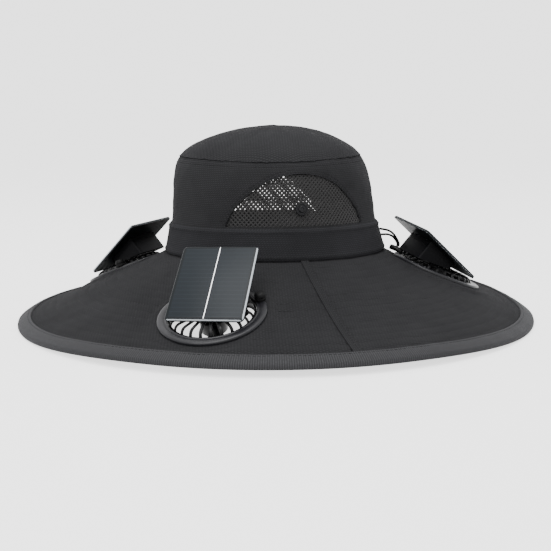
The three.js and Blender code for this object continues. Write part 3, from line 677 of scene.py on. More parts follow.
cut = {(j, i): in_duct(j, i) for j in range(-1, BRIM_ROWS + 1) for i in range(BRIM_STEPS)}
for i in range(BRIM_STEPS):
    for j in range(BRIM_ROWS):
        if cut[j, i]:
            for other, start, end in (
                ((j - 1, i), (j, i), (j, i + 1)),
                ((j + 1, i), (j + 1, i + 1), (j + 1, i)),
                ((j, (i - 1) % BRIM_STEPS), (j + 1, i), (j, i)),
                ((j, (i + 1) % BRIM_STEPS), (j, i + 1), (j + 1, i + 1)),
            ):
                if not cut[other]:
                    brim_quad((0, *start), (0, *end), (1, *end), (1, *start))
            continue
        brim_quad((0, j, i), (0, j + 1, i), (0, j + 1, i + 1), (0, j, i + 1))
        brim_quad((1, j, i), (1, j, i + 1), (1, j + 1, i + 1), (1, j + 1, i))
    brim_quad((0, 0, i), (0, 0, i + 1), (1, 0, i + 1), (1, 0, i))
    brim_quad((0, BRIM_ROWS, i), (1, BRIM_ROWS, i), (1, BRIM_ROWS, i + 1), (0, BRIM_ROWS, i + 1))
brim_cotton = cotton_twill("cotton_twill_brim", ("#151516", "#212122"), 0.008)
brim = finish_mesh("brim_cloth", bm, brim_cotton, 60)
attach(brim, "hat")
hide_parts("brim")

# Side seams of the brim: where its two halves meet, the edge is folded over into a raised strip
# about 7 mm wide that runs straight out from the crown to the tape.
SEAM_WIDTH, SEAM_END = 7, 0.4
STRIP_ROWS, STRIP_COLUMNS = 120, 14
for side, middle in zip(("near", "far"), WINDOW_MIDDLES):
    outer, inner = [], []
    along = turn_to(middle, 1, 0)
    across = turn_to(middle + 90, 1, 0)
    for j in range(STRIP_ROWS + 1):
        length = RIM_RADIUS - TAPE_WIDTH - SEAM_END - brim_inner(middle)
        radius = brim_inner(middle) + SEAM_END + length * j / STRIP_ROWS
        ring, under = [], []
        for k in range(STRIP_COLUMNS + 1):
            share = k / STRIP_COLUMNS * 2 - 1
            flat = along * radius + across * (share * SEAM_WIDTH / 2)
            top = brim_top(flat.x, flat.y)
            ridge = 0.35 * math.exp(-((share - 0.55) / 0.2) ** 2)
            ridge += 0.3 * math.exp(-((share + 0.9) / 0.12) ** 2)
            edge = 1 - abs(share) ** 10
            loose = 0.2 * noise.noise(Vector((radius / 5, share * 2, middle)))
            ring.append(Vector((flat.x, flat.y, top + 0.35 + (0.55 + ridge + loose) * edge)))
            under.append(Vector((flat.x, flat.y, top + 0.2)))
        outer.append(ring)
        inner.append(under)
    strip = sewn_shell("brim_seam_" + side, outer, inner, False, lambda row, k: (row, k / 2), brim_cotton)
    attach(strip, "hat")

# Binding: a cotton tape, slightly ribbed and paler than the twill. It is folded over the rim of the
# brim and stitched through near its inner edge.
tape_cotton, tree, shader = new_material("cotton_tape_ribbed", {
    "Roughness": 0.85, "Specular IOR Level": 0.1, "Sheen Weight": 0.03, "Sheen Roughness": 0.4,
})
shader.inputs["Sheen Tint"].default_value = linear("#d0d0d8")
cloth = node(tree, "ShaderNodeUVMap", {"uv_map": "cloth"})
flat = {"Vector": cloth.outputs[0]}
# Ribs of a woven tape, drawn 1.6 mm apart
TAPE_PITCH = 1.6
ribs = node(
    tree, "ShaderNodeTexWave", {"Scale": WAVE_SPAN / TAPE_PITCH, "Distortion": 0.6, "Detail": 1}, flat,
)
fuzz = node(tree, "ShaderNodeTexNoise", {"Scale": 0.9, "Detail": 3}, flat)
both = node(
    tree, "ShaderNodeMath", {"operation": "MULTIPLY"}, {0: ribs.outputs["Fac"], 1: fuzz.outputs["Fac"]},
)
bump = node(tree, "ShaderNodeBump", {"Strength": 0.5, "Distance": WEAVE_DEPTH}, {"Height": both.outputs[0]})
tree.links.new(mixed(tree, both.outputs[0], "#181819", "#333335"), shader.inputs["Base Color"])
tree.links.new(bump.outputs[0], shader.inputs["Normal"])
bm = bmesh.new()
cloth_uv = bm.loops.layers.uv.new("cloth")
tape_rings = []
TAPE_ROLL = [  # set back from the rim, height, share of the wave
    (1.6, EDGE_HEIGHT + 1.55, 1), (0.5, EDGE_HEIGHT + 0.8, 0), (0, EDGE_HEIGHT - 0.8, 0),
    (0.1, 1.2, 0), (0.8, 0.15, 0), (1.8, 0, 0), (3, 0.1, 0),
]
TAPE_STEPS, TAPE_SEAM = (1.6, 2.4, 3.2, 5, 7), 2.4
TAPE_FOOT = -CLOTH - GAP - TAPE_CLOTH
for i in range(BRIM_STEPS):
    azimuth = i * 360 / BRIM_STEPS
    lift = rim_lift(azimuth)
    wave = 0.25 * noise.noise(turn_to(azimuth, 14, 0)) + 0.12 * noise.noise(turn_to(azimuth, 60, 0))

    def over(radius, offset):
        flat = turn_to(azimuth, min(radius, BRIM_EDGE), 0)
        return turn_to(azimuth, radius, brim_top(flat.x, flat.y) + offset)

    inner = RIM_RADIUS - TAPE_WIDTH
    points = [over(inner - 0.2, 0.05), over(inner, 0.9), over(inner + 0.7, 1.5 + wave)]
    for step in TAPE_STEPS:
        groove = 0.25 * math.exp(-((step - TAPE_SEAM) / 0.5) ** 2)
        points.append(over(inner + step, 1.75 - groove + wave))
    for back, height, waved in TAPE_ROLL:
        points.append(turn_to(azimuth, RIM_RADIUS - back, lift + height + wave * waved))
    points += [over(RIM_RADIUS - 5, TAPE_FOOT), over(inner, TAPE_FOOT), over(inner - 0.2, -CLOTH - 0.1)]
    tape_rings.append([bm.verts.new(point) for point in points])
TAPE_STEP, TAPE_ROW = math.tau * 220 / BRIM_STEPS, 1.4
for i in range(BRIM_STEPS):
    ring, after = tape_rings[i], tape_rings[(i + 1) % BRIM_STEPS]
    for k in range(len(ring)):
        n = (k + 1) % len(ring)
        face = bm.faces.new((ring[k], ring[n], after[n], after[k]))
        for loop, (a, b) in zip(face.loops, ((i, k), (i, k + 1), (i + 1, k + 1), (i + 1, k))):
            loop[cloth_uv].uv = (a * TAPE_STEP, b * TAPE_ROW)
tape = finish_mesh("brim_binding_tape", bm, tape_cotton, 70)
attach(tape, "hat")
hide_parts("brim_binding")

# Stitches: black polyester thread, seen as short raised dashes along each seam, quilted ring and edge.
# Each is drawn 2.6 mm long, a little coarser than the real 2 mm.
STITCH_SPACING, STITCH_LENGTH, STITCH_THICK = 3.4, 2.6, 0.5
stitch_tree, given = new_tree("stitches_along_lines", [
    ("Spacing", "Float"), ("Length", "Float"), ("Thickness", "Float"), ("Material", "Material"),
])
lines = node(stitch_tree, "GeometryNodeMeshToCurve", links={"Mesh": given["Geometry"]})
beads = node(stitch_tree, "GeometryNodeCurveToPoints", {"mode": "LENGTH"}, {
    "Curve": lines.outputs[0], "Length": given["Spacing"],
})
aligned = node(stitch_tree, "FunctionNodeAlignRotationToVector", {"axis": "X"}, {
    "Vector": beads.outputs["Tangent"],
})
size = node(stitch_tree, "ShaderNodeCombineXYZ", links={
    "X": given["Length"], "Y": given["Thickness"], "Z": given["Thickness"],
})
thread = node(stitch_tree, "GeometryNodeMeshIcoSphere", {"Radius": 0.5, "Subdivisions": 1})
placed = node(stitch_tree, "GeometryNodeInstanceOnPoints", links={
    "Points": beads.outputs[0], "Instance": thread.outputs[0],
    "Rotation": aligned.outputs[0], "Scale": size.outputs[0],
})
end_tree(stitch_tree, placed.outputs[0], given["Material"])

# The twist of the thread, drawn as flecks 1 mm long
stitch_thread = flecked("polyester_thread", {
    "Roughness": 0.7, "Specular IOR Level": 0.1,
}, 1000, 1, "#0b0b0c", "#161617")


def sewn_line(bm, points, closed):
    """A line of stitches through points, left out where one is None."""
    verts = [bm.verts.new(point) if point else None for point in points]
    for a, b in zip(verts, verts[1:] + verts[:1] if closed else verts[1:]):
        if a and b:
            bm.edges.new((a, b))


def on_brim(azimuth, radius, lift):
    flat = turn_to(azimuth, radius, 0)
    for place in fan_places.values():
        if math.hypot(flat.x - place.translation.x, flat.y - place.translation.y) < FLANGE_RADIUS:
            return None
    flat.z = brim_top(flat.x, flat.y) + lift
    return flat


brim_lines, edge_lines, crown_lines = bmesh.new(), bmesh.new(), bmesh.new()
for ring in range(1, QUILT_RINGS + 1):
    points = []
    for i in range(360):
        inner = brim_inner(i)
        radius = inner + (RIM_RADIUS - TAPE_WIDTH - inner) * ring / (QUILT_RINGS + 0.5)
        points.append(on_brim(i, radius, -0.5))
    sewn_line(brim_lines, points, True)
sewn_line(edge_lines, [on_brim(i, RIM_RADIUS - TAPE_WIDTH + TAPE_SEAM, 1.55) for i in range(360)], True)
for middle in WINDOW_MIDDLES:
    along, across = turn_to(middle, 1, 0), turn_to(middle + 90, 1, 0)
    for share in (0.3, 0.8):
        points = []
        for j in range(60):
            radius = brim_inner(middle) + 2 + 112 * j / 59
            flat = along * radius + across * (share * SEAM_WIDTH / 2)
            points.append(Vector((flat.x, flat.y, brim_top(flat.x, flat.y) + 1.0)))
        sewn_line(edge_lines, points, False)
for height in (CROWN_FOOT + 2.6, CROWN_FOOT + BAND_HEIGHT - 2.6):
    points = [wall_point(i, height, GAP + BAND_CLOTH + 0.75) for i in range(0, 360, 2)]
    sewn_line(crown_lines, points, True)
sewn_line(crown_lines, [wall_surface(i, SEAM_HEIGHT - 4, 0.1) for i in range(0, 360, 2)], True)
for middle in WINDOW_MIDDLES:
    for margin in (1.8, 4.4):
        points = []
        for k in range(61):
            offset = -(WINDOW_HALF + margin * 0.6) * math.cos(math.pi * k / 60)
            inside = max(min(offset, WINDOW_HALF - 0.01), 0.01 - WINDOW_HALF)
            points.append(wall_surface(middle + offset, window_top(inside) + margin, 0.1))
        sewn_line(crown_lines, points, False)
for name, lines_mesh in (
    ("brim_quilting", brim_lines), ("brim_edge_stitches", edge_lines), ("crown_stitches", crown_lines),
):
    stitches = grow(name, stitch_tree, lines_mesh, {
        "Spacing": STITCH_SPACING * MM, "Length": STITCH_LENGTH * MM, "Thickness": STITCH_THICK * MM,
        "Material": stitch_thread,
    })
    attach(stitches, "hat")

# Flanges: dark grey moulded ABS rings with a satin face that lie on the cloth. Each has a collar
# down through its hole in the brim, on which the back ring is pushed.
COLLAR_DEPTH, FLANGE_HEIGHT = 8.5, 2.6
FLANGE_OUTLINE = [  # radius, height
    (DUCT_RADIUS, -COLLAR_DEPTH), (DUCT_RADIUS + COLLAR_WALL, -COLLAR_DEPTH),
    (DUCT_RADIUS + COLLAR_WALL, GAP), (FLANGE_RADIUS, GAP), (FLANGE_RADIUS, 1.3), (40.3, 1.9),
    (39.8, 2.35), (39.0, 2.6), (35.6, 2.6), (35.2, 2.35), (34.2, 2.3), (33.7, 2.6), (33.2, 2.5),
    (DUCT_RADIUS, 2.2),
]


def moulded(name, colour, roughness, grit, shine):
    """Moulded plastic: an even colour with a spark-eroded grain, its grit given in millimetres."""
    made, tree, shader = new_material(name, {"Roughness": roughness, "Specular IOR Level": shine})
    place = {"Vector": node(tree, "ShaderNodeTexCoord").outputs["Object"]}
    grain = node(tree, "ShaderNodeTexNoise", {"Scale": 1000 / grit, "Detail": 2, "Roughness": 0.6}, place)
    cloud = node(tree, "ShaderNodeTexNoise", {"Scale": 45, "Detail": 3}, place)
    rough = node(
        tree, "ShaderNodeMapRange", {"To Min": roughness - 0.06, "To Max": roughness + 0.08},
        {"Value": grain.outputs["Fac"]},
    )
    bump = node(
        tree, "ShaderNodeBump", {"Strength": 0.35, "Distance": 0.0001}, {"Height": grain.outputs["Fac"]},
    )
    tree.links.new(mixed(tree, cloud.outputs["Fac"], *colour), shader.inputs["Base Color"])
    tree.links.new(rough.outputs[0], shader.inputs["Roughness"])
    tree.links.new(bump.outputs[0], shader.inputs["Normal"])
    return made


flange_abs = moulded("abs_flange_satin", ("#0f0f11", "#17171a"), 0.34, 0.9, 0.16)
for fan, place in fan_places.items():
    turned_piece("flange_" + fan + "_ring", FLANGE_OUTLINE, 128, place,
                 flange_abs, 35, "flange_" + fan)

# Back rings: black moulded ABS rings under the brim, pushed up the collar from below. Each clamps
# the cloth against its flange.
fan_abs = moulded("abs_black_satin", ("#040405", "#080809"), 0.38, 0.8, 0.1)
BACK_TOP, BACK_INNER = -CLOTH - GAP, DUCT_RADIUS + COLLAR_WALL + GAP
BACK_OUTLINE = [
    (BACK_INNER, BACK_TOP - 1.6), (39.2, BACK_TOP - 1.6), (39.6, BACK_TOP - 1.45), (39.8, BACK_TOP - 1.1),
    (39.8, BACK_TOP), (BACK_INNER, BACK_TOP),
]
for fan, place in fan_places.items():
    turned_piece("back_ring_" + fan + "_clamp", BACK_OUTLINE, 96, place,
                 fan_abs, 35, "back_ring_" + fan)

# Guards: low domes of thin curved ribs in black ABS, moulded in one with a ring that fits in the
# duct and a flat cap over the motor. The battery box stands on the cap.
RIBS, RIB_WIDTH, RIB_THICK, GUARD_HEIGHT, CAP_RADIUS = 26, 2.3, 1.3, 6.5, 11
RING = DUCT_RADIUS - 2 * GAP
RIB_PATH = [
    (RING, 1.2), (RING - 0.2, 2.4), (RING - 0.7, 3.8), (RING - 1.7, 5.1), (RING - 3.2, 6), (RING - 5, 6.4),
    (RING - 9, 6.5), (20, 6.5), (CAP_RADIUS - 0.8, 6.5),
]
RIB_SECTION = [  # across, depth, as shares of the rib's width and thickness
    (-0.5, 0.35), (-0.3, 0), (0.3, 0), (0.5, 0.35), (0.5, 0.75), (0.3, 1), (-0.3, 1), (-0.5, 0.75),
]
GUARD_RING = [  # radius, height
    (RING - 1.6, -1), (RING, -1), (RING, 1.1), (RING - 0.3, 1.4), (RING - 1.3, 1.4), (RING - 1.6, 1.1),
]
GUARD_CAP = [
    (0, GUARD_HEIGHT - RIB_THICK), (CAP_RADIUS, GUARD_HEIGHT - RIB_THICK),
    (CAP_RADIUS + 0.3, GUARD_HEIGHT - 1), (CAP_RADIUS + 0.3, GUARD_HEIGHT - 0.3),
    (CAP_RADIUS, GUARD_HEIGHT), (0, GUARD_HEIGHT),
]
repeat_tree, given = new_tree("ribs_in_a_ring", [("Count", "Int"), ("Material", "Material")])
spots = node(repeat_tree, "GeometryNodePoints", links={"Count": given["Count"]})
index = node(repeat_tree, "GeometryNodeInputIndex")
midway = node(repeat_tree, "ShaderNodeMath", {"operation": "ADD", 1: 0.5}, {0: index.outputs[0]})
share = node(
    repeat_tree, "ShaderNodeMath", {"operation": "DIVIDE"}, {0: midway.outputs[0], 1: given["Count"]},
)
angle = node(repeat_tree, "ShaderNodeMath", {"operation": "MULTIPLY", 1: math.tau}, {0: share.outputs[0]})
turn = node(repeat_tree, "ShaderNodeCombineXYZ", links={"Z": angle.outputs[0]})
placed = node(
    repeat_tree, "GeometryNodeInstanceOnPoints",
    links={"Points": spots.outputs[0], "Instance": given["Geometry"], "Rotation": turn.outputs[0]},
)
end_tree(repeat_tree, placed.outputs[0], given["Material"])


def one_rib(bm):
    """A rib with rounded edges, from the ring up and over to the cap."""
    sections = []
    for k, (radius, height) in enumerate(RIB_PATH):
        before, after = RIB_PATH[max(k - 1, 0)], RIB_PATH[min(k + 1, len(RIB_PATH) - 1)]
        along = Vector((after[0] - before[0], after[1] - before[1])).normalized()
        side = Vector((-along.y, along.x))
        if k == 0:
            side = Vector((-1, 0))
        ring = []
        for across, deep in RIB_SECTION:
            out, up = side.x * deep * RIB_THICK, side.y * deep * RIB_THICK
            ring.append(bm.verts.new((radius + out, across * RIB_WIDTH, height + up)))
        sections.append(ring)
    for a, b in zip(sections, sections[1:]):
        for k in range(8):
            bm.faces.new((a[k], b[k], b[(k + 1) % 8], a[(k + 1) % 8]))
    bm.faces.new(sections[0])
    bm.faces.new(list(reversed(sections[-1])))


for fan, place in fan_places.items():
    rib = bmesh.new()
    one_rib(rib)
    bmesh.ops.recalc_face_normals(rib, faces=rib.faces)
    ribs = grow("guard_" + fan + "_ribs", repeat_tree, rib, {"Count": RIBS, "Material": fan_abs}, 40)
    bm = bmesh.new()
    bm.from_mesh(ribs.data)
    bmesh.ops.scale(bm, vec=(1 / MM,) * 3, verts=bm.verts)
    turned_mesh(bm, GUARD_RING, 96)
    turned_mesh(bm, GUARD_CAP, 64)
    bmesh.ops.transform(bm, matrix=place, verts=bm.verts)
    bpy.data.objects.remove(ribs)
    guard = finish_mesh("guard_" + fan + "_dome", bm, fan_abs, 40)
    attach(guard, "hat")
    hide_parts("guard_" + fan)

# Motors: small drawn steel cans, painted black, with a rolled groove near the top. Each hangs from
# the guard's cap with its shaft downwards.
motor_paint = moulded("painted_motor_can", ("#08080a", "#0e0e11"), 0.32, 1.2, 0.15)
IMPELLER_DROP, HUB_FLOOR = 13, 3
SHAFT_FOOT = HUB_FLOOR - IMPELLER_DROP
MOTOR_OUTLINE = [
    (0, SHAFT_FOOT), (1.2, SHAFT_FOOT), (1.2, -1.4), (3, -1.4), (3, -0.8), (7.9, -0.8), (8.5, -0.2),
    (8.5, 3), (8.2, 3.2), (8.2, 3.6), (8.5, 3.8), (8.5, 4.9), (0, 4.9),
]
for fan, place in fan_places.items():
    turned_piece("motor_" + fan + "_can", MOTOR_OUTLINE, 64, place,
                 motor_paint, 35, "motor_" + fan)

# Impellers: a hub with three broad swept blades, moulded in one in black ABS. Each is pressed on
# the motor's shaft from below and turns in the collar.
HUB_RADIUS, BLADE_TIP, BLADE_THICK, BLADES, BLADE_START = 10, 28.5, 1.2, 3, 42
HUB_TOP, BORE = -2.3, 1.28
BORE_FLOOR = HUB_FLOOR - GAP - IMPELLER_DROP
HUB_OUTLINE = [
    (0, -IMPELLER_DROP), (7, -IMPELLER_DROP), (9.2, -12.4), (HUB_RADIUS, -11.4),
    (HUB_RADIUS, HUB_TOP - 0.4), (HUB_RADIUS - 0.4, HUB_TOP), (BORE, HUB_TOP),
    (BORE, BORE_FLOOR), (0, BORE_FLOOR),
]
BLADE_ROWS, BLADE_COLUMNS = 12, 10
HUB_PITCH, PITCH_FALL, BLADE_WIDTH, BLADE_CAMBER = 38, 12, 11, 0.9


def add_blade(bm, start, place):
    """A twisted, cambered blade: steep and narrow at the hub, flatter and wider at the tip."""
    middle = (HUB_TOP - COLLAR_DEPTH) / 2
    grids = {0: [], 1: []}
    for j in range(BLADE_ROWS + 1):
        share = j / BLADE_ROWS
        radius = HUB_RADIUS - 1.5 + (BLADE_TIP - HUB_RADIUS + 1.5) * share
        pitch = math.radians(HUB_PITCH - PITCH_FALL * share)
        width = BLADE_WIDTH * (0.72 + 0.55 * share) * (1 - 0.25 * max(share - 0.85, 0) / 0.15)
        for side in (0, 1):
            row = []
            for k in range(BLADE_COLUMNS + 1):
                chord = k / BLADE_COLUMNS - 0.5
                camber = BLADE_CAMBER * (1 - 4 * chord * chord)
                thick = BLADE_THICK / 2 * (1 - (2 * chord) ** 4 * 0.7) * (1 if side else -1)
                along = chord * width
                sweep = 1.5 * share * share
                angle = start + (along * math.cos(pitch) + sweep) / max(radius, 9)
                height = middle + along * math.sin(pitch) + camber + thick
                point = Vector((radius * math.cos(angle), radius * math.sin(angle), height))
                row.append(bm.verts.new(place @ point))
            grids[side].append(row)
    under, over = grids[0], grids[1]
    for grid in (under, over):
        for j in range(BLADE_ROWS):
            for k in range(BLADE_COLUMNS):
                bm.faces.new((grid[j][k], grid[j + 1][k], grid[j + 1][k + 1], grid[j][k + 1]))
    for j in range(BLADE_ROWS):
        for k in (0, BLADE_COLUMNS):
            bm.faces.new((under[j][k], under[j + 1][k], over[j + 1][k], over[j][k]))
    for k in range(BLADE_COLUMNS):
        for j in (0, BLADE_ROWS):
            bm.faces.new((under[j][k], under[j][k + 1], over[j][k + 1], over[j][k]))


impeller_abs = moulded("abs_impeller_semi_gloss", ("#070708", "#0d0d0f"), 0.3, 1.0, 0.15)
for fan, place in fan_places.items():
    bm = bmesh.new()
    turned_mesh(bm, HUB_OUTLINE, 64, place)
    for k in range(BLADES):
        add_blade(bm, math.radians(BLADE_START) + math.tau * k / BLADES, place)
    impeller = finish_mesh("impeller_" + fan + "_blades", bm, impeller_abs, 40)
    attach(impeller, "impeller_" + fan)
    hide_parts("impeller_" + fan)

# Solar panels: a dark cell on a black board under clear cast resin, whose rounded edge catches the
# light. Each is glued on its box. A bright busbar runs down the middle, with hair-thin fingers across it.
PANEL_WIDTH, PANEL_LENGTH, PANEL_THICK, PANEL_CORNER = 58, 70, 2.6, 3
PANEL_TILT, PANEL_SET_BACK = 20, 12
CORNER_STEPS = 8
BOX_WIDTH, BOX_LENGTH, BOX_LEAST, BOX_CORNER = 36, 34, 6.8, 2.5
tilt = math.radians(PANEL_TILT)
BOX_FOOT = GUARD_HEIGHT + GAP
PANEL_HIGH = BOX_FOOT + BOX_LENGTH / 2 * math.sin(tilt) + (PANEL_THICK / 2 + GAP + BOX_LEAST) * math.cos(tilt)
PANEL_FRAME = Matrix.Translation((0, PANEL_SET_BACK, PANEL_HIGH)) @ Matrix.Rotation(tilt, 4, "X")


def skin(bm, rings):
    """Joins rings of points into a closed skin."""
    for a, b in zip(rings, rings[1:]):
        for k in range(len(a)):
            bm.faces.new((a[k], a[(k + 1) % len(a)], b[(k + 1) % len(a)], b[k]))
    bm.faces.new(list(reversed(rings[0])))
    bm.faces.new(rings[-1])


def plate(bm, width, length, low, high, corner, bevel_top, bevel_foot, place):
    """A plate with round corners and rounded top and bottom edges."""
    rings = []
    levels = []
    for a in (0, 0.5, 1.05, math.pi / 2) if bevel_foot else ():
        levels.append((low + bevel_foot * (1 - math.cos(a)), bevel_foot * (1 - math.sin(a))))
    if not bevel_foot:
        levels.append((low, 0))
    for a in (0, 0.4, 0.8, 1.2, math.pi / 2):
        levels.append((high - bevel_top * (1 - math.sin(a)), bevel_top * (1 - math.cos(a))))
    for height, inset in levels:
        ring = []
        for turn in range(4):
            centre = Vector(
                ((1, 1, -1, -1)[turn] * (width / 2 - corner), (-1, 1, 1, -1)[turn] * (length / 2 - corner))
            )
            for k in range(CORNER_STEPS + 1):
                a = math.radians(-90 + turn * 90 + k * 90 / CORNER_STEPS)
                reach = max(corner - inset, 0.05)
                point = Vector((centre.x + reach * math.cos(a), centre.y + reach * math.sin(a), height))
                ring.append(bm.verts.new(place @ point))
        rings.append(ring)
    skin(bm, rings)


panel_resin, tree, shader = new_material(
    "cast_resin_solar_cell", {"Roughness": 0.3, "Specular IOR Level": 0.07},
)
flat = node(tree, "ShaderNodeUVMap", {"uv_map": "panel"})
apart = node(tree, "ShaderNodeSeparateXYZ", links={"Vector": flat.outputs[0]})
# Fingers of the cell are hairlines 2 mm apart, too fine to show. Every second one is drawn, 0.36 mm wide.
FINGER_PITCH, FINGER_HALF, BUSBAR_HALF = 2.0, 0.18, 0.27
# The last two widths are those of the painted highlight on the resin's edge, at one side and at the foot
CELL_MARGIN, BUSBAR_MARGIN, HIGHLIGHT_SIDE, HIGHLIGHT_FOOT = 2.6, 1.2, 0.9, 0.5
finger = node(tree, "ShaderNodeMath", {"operation": "PINGPONG", 1: FINGER_PITCH}, {0: apart.outputs["Y"]})
hairline = node(tree, "ShaderNodeMath", {"operation": "LESS_THAN", 1: FINGER_HALF}, {0: finger.outputs[0]})
across = node(tree, "ShaderNodeMath", {"operation": "ABSOLUTE"}, {0: apart.outputs["X"]})
busbar = node(tree, "ShaderNodeMath", {"operation": "LESS_THAN", 1: BUSBAR_HALF}, {0: across.outputs[0]})
down = node(tree, "ShaderNodeMath", {"operation": "ABSOLUTE"}, {0: apart.outputs["Y"]})
in_x = node(
    tree, "ShaderNodeMath", {"operation": "LESS_THAN", 1: PANEL_WIDTH / 2 - CELL_MARGIN},
    {0: across.outputs[0]},
)
in_y = node(
    tree, "ShaderNodeMath", {"operation": "LESS_THAN", 1: PANEL_LENGTH / 2 - CELL_MARGIN},
    {0: down.outputs[0]},
)
cell = node(tree, "ShaderNodeMath", {"operation": "MULTIPLY"}, {0: in_x.outputs[0], 1: in_y.outputs[0]})
in_bar = node(
    tree, "ShaderNodeMath", {"operation": "LESS_THAN", 1: PANEL_LENGTH / 2 - BUSBAR_MARGIN},
    {0: down.outputs[0]},
)
silver = node(tree, "ShaderNodeMath", {"operation": "MULTIPLY"}, {0: busbar.outputs[0], 1: in_bar.outputs[0]})
place = node(tree, "ShaderNodeTexCoord")
cloud = node(tree, "ShaderNodeTexNoise", {"Scale": 30, "Detail": 4}, {"Vector": place.outputs["Object"]})
silicon = mixed(tree, cloud.outputs["Fac"], "#0c1013", "#13171b")
fine = node(tree, "ShaderNodeMath", {"operation": "MULTIPLY", 1: 0.35}, {0: hairline.outputs[0]})
lined = node(
    tree, "ShaderNodeMix", {"data_type": "RGBA", 7: linear("#23282d")}, {0: fine.outputs[0], 6: silicon},
)
board = node(
    tree, "ShaderNodeMix", {"data_type": "RGBA", 6: linear("#0c0f11")},
    {0: cell.outputs[0], 7: lined.outputs[2]},
)
barred = node(
    tree, "ShaderNodeMix", {"data_type": "RGBA", 7: linear("#f4f5f6")},
    {0: silver.outputs[0], 6: board.outputs[2]},
)
# Painted highlight: the light caught by the resin's rounded edge is drawn as a pale band along one side and
# along the foot
right_edge_highlight = node(
    tree, "ShaderNodeMath", {"operation": "GREATER_THAN", 1: PANEL_WIDTH / 2 - HIGHLIGHT_SIDE},
    {0: apart.outputs["X"]},
)
foot_edge_highlight = node(
    tree, "ShaderNodeMath", {"operation": "LESS_THAN", 1: HIGHLIGHT_FOOT - PANEL_LENGTH / 2},
    {0: apart.outputs["Y"]},
)
on_top = node(
    tree, "ShaderNodeMath", {"operation": "LESS_THAN", 1: PANEL_WIDTH / 2 + 0.5}, {0: across.outputs[0]},
)
edge = node(
    tree, "ShaderNodeMath", {"operation": "MAXIMUM"}, {0: right_edge_highlight.outputs[0], 1: foot_edge_highlight.outputs[0]},
)
painted_highlight_mask = node(
    tree, "ShaderNodeMath", {"operation": "MULTIPLY"}, {0: edge.outputs[0], 1: on_top.outputs[0]},
)
# The pale colour here is painted highlight, the light caught by the resin's edge
highlighted = node(
    tree, "ShaderNodeMix", {"data_type": "RGBA", 7: linear("#8c9094")},
    {0: painted_highlight_mask.outputs[0], 6: barred.outputs[2]},
)
tree.links.new(highlighted.outputs[2], shader.inputs["Base Color"])
for fan, place in fan_places.items():
    bm = bmesh.new()
    plate(bm, PANEL_WIDTH, PANEL_LENGTH, -PANEL_THICK / 2, PANEL_THICK / 2, PANEL_CORNER, 1.3, 0, Matrix())
    panel_uv = bm.loops.layers.uv.new("panel")
    for face in bm.faces:
        for loop in face.loops:
            under = loop.vert.co.z < 0
            loop[panel_uv].uv = (PANEL_WIDTH, PANEL_LENGTH) if under else loop.vert.co.xy
    bmesh.ops.transform(bm, matrix=place @ PANEL_FRAME, verts=bm.verts)
    panel = finish_mesh("solar_panel_" + fan + "_cell", bm, panel_resin, 28)
    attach(panel, "hat")
    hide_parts("solar_panel_" + fan)

# Battery boxes: two black moulded ABS half shells under each panel. The upper one is square to the
# panel, and the lower one is cut level to stand flat on the guard.
box_abs = moulded("abs_box_satin", ("#040405", "#070709"), 0.4, 0.9, 0.04)


def box_shell(bm, place, width, length, top, foot, edge):
    """Part of the box between two depths under the panel, or down to the guard where foot is None."""
    rings = []
    for depth, inset in ((foot, edge), (foot, 0), (top, 0), (top, edge)):
        ring = []
        for turn in range(4):
            x, y = (1, 1, -1, -1)[turn] * (width / 2 - BOX_CORNER), (-1, 1, 1, -1)[turn] * (
                length / 2 - BOX_CORNER
            )
            for k in range(CORNER_STEPS + 1):
                a = math.radians(-90 + turn * 90 + k * 90 / CORNER_STEPS)
                flat = Vector(
                    (x + (BOX_CORNER - inset) * math.cos(a), y + (BOX_CORNER - inset) * math.sin(a), 0)
                )
                point = PANEL_FRAME @ (flat - Vector((0, 0, depth or 0)))
                if depth is None:
                    up = PANEL_FRAME.col[2].xyz
                    point = point - up * (point.z - BOX_FOOT - (0 if inset else edge)) / up.z
                ring.append(bm.verts.new(place @ point))
        rings.append(ring)
    skin(bm, rings)


BOX_TOP, BOX_SPLIT = PANEL_THICK / 2 + GAP, PANEL_THICK / 2 + GAP + 4
for fan, place in fan_places.items():
    bm = bmesh.new()
    box_shell(bm, place, BOX_WIDTH, BOX_LENGTH, BOX_SPLIT + 0.3, None, 0.8)
    box_shell(bm, place, BOX_WIDTH - 0.8, BOX_LENGTH - 0.8, BOX_SPLIT - 0.5, BOX_SPLIT + 0.8, 0.1)
    box_shell(bm, place, BOX_WIDTH, BOX_LENGTH, BOX_TOP, BOX_SPLIT - 0.3, 0.3)
    battery_box = finish_mesh("battery_box_" + fan + "_shell", bm, box_abs, 35)
    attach(battery_box, "hat")
    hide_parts("battery_box_" + fan)

# Cable lugs: soft black rubber plugs, domed on top and moulded with a groove round the neck. Each
# is pushed onto the flange beside the duct.
lug_rubber = moulded("moulded_rubber", ("#060606", "#0b0b0c"), 0.55, 0.7, 0.08)
LUG_OUTLINE = [
    (0, 0), (4.2, 0), (4.2, 1.6), (3.7, 1.9), (3.7, 2.4), (4.1, 2.7), (4.1, 4), (3.6, 5.1), (2.6, 5.8),
    (1.2, 6), (0, 6),
]
LUG_AZIMUTH, LUG_REACH = math.radians(30), DUCT_RADIUS + 4.2
LUG_SEAT = Matrix.Translation((
    LUG_REACH * math.cos(LUG_AZIMUTH), LUG_REACH * math.sin(LUG_AZIMUTH), FLANGE_HEIGHT + GAP,
))
for fan, place in fan_places.items():
    turned_piece("cable_lug_" + fan + "_plug", LUG_OUTLINE, 40, place @ LUG_SEAT,
                 lug_rubber, 40, "cable_lug_" + fan)

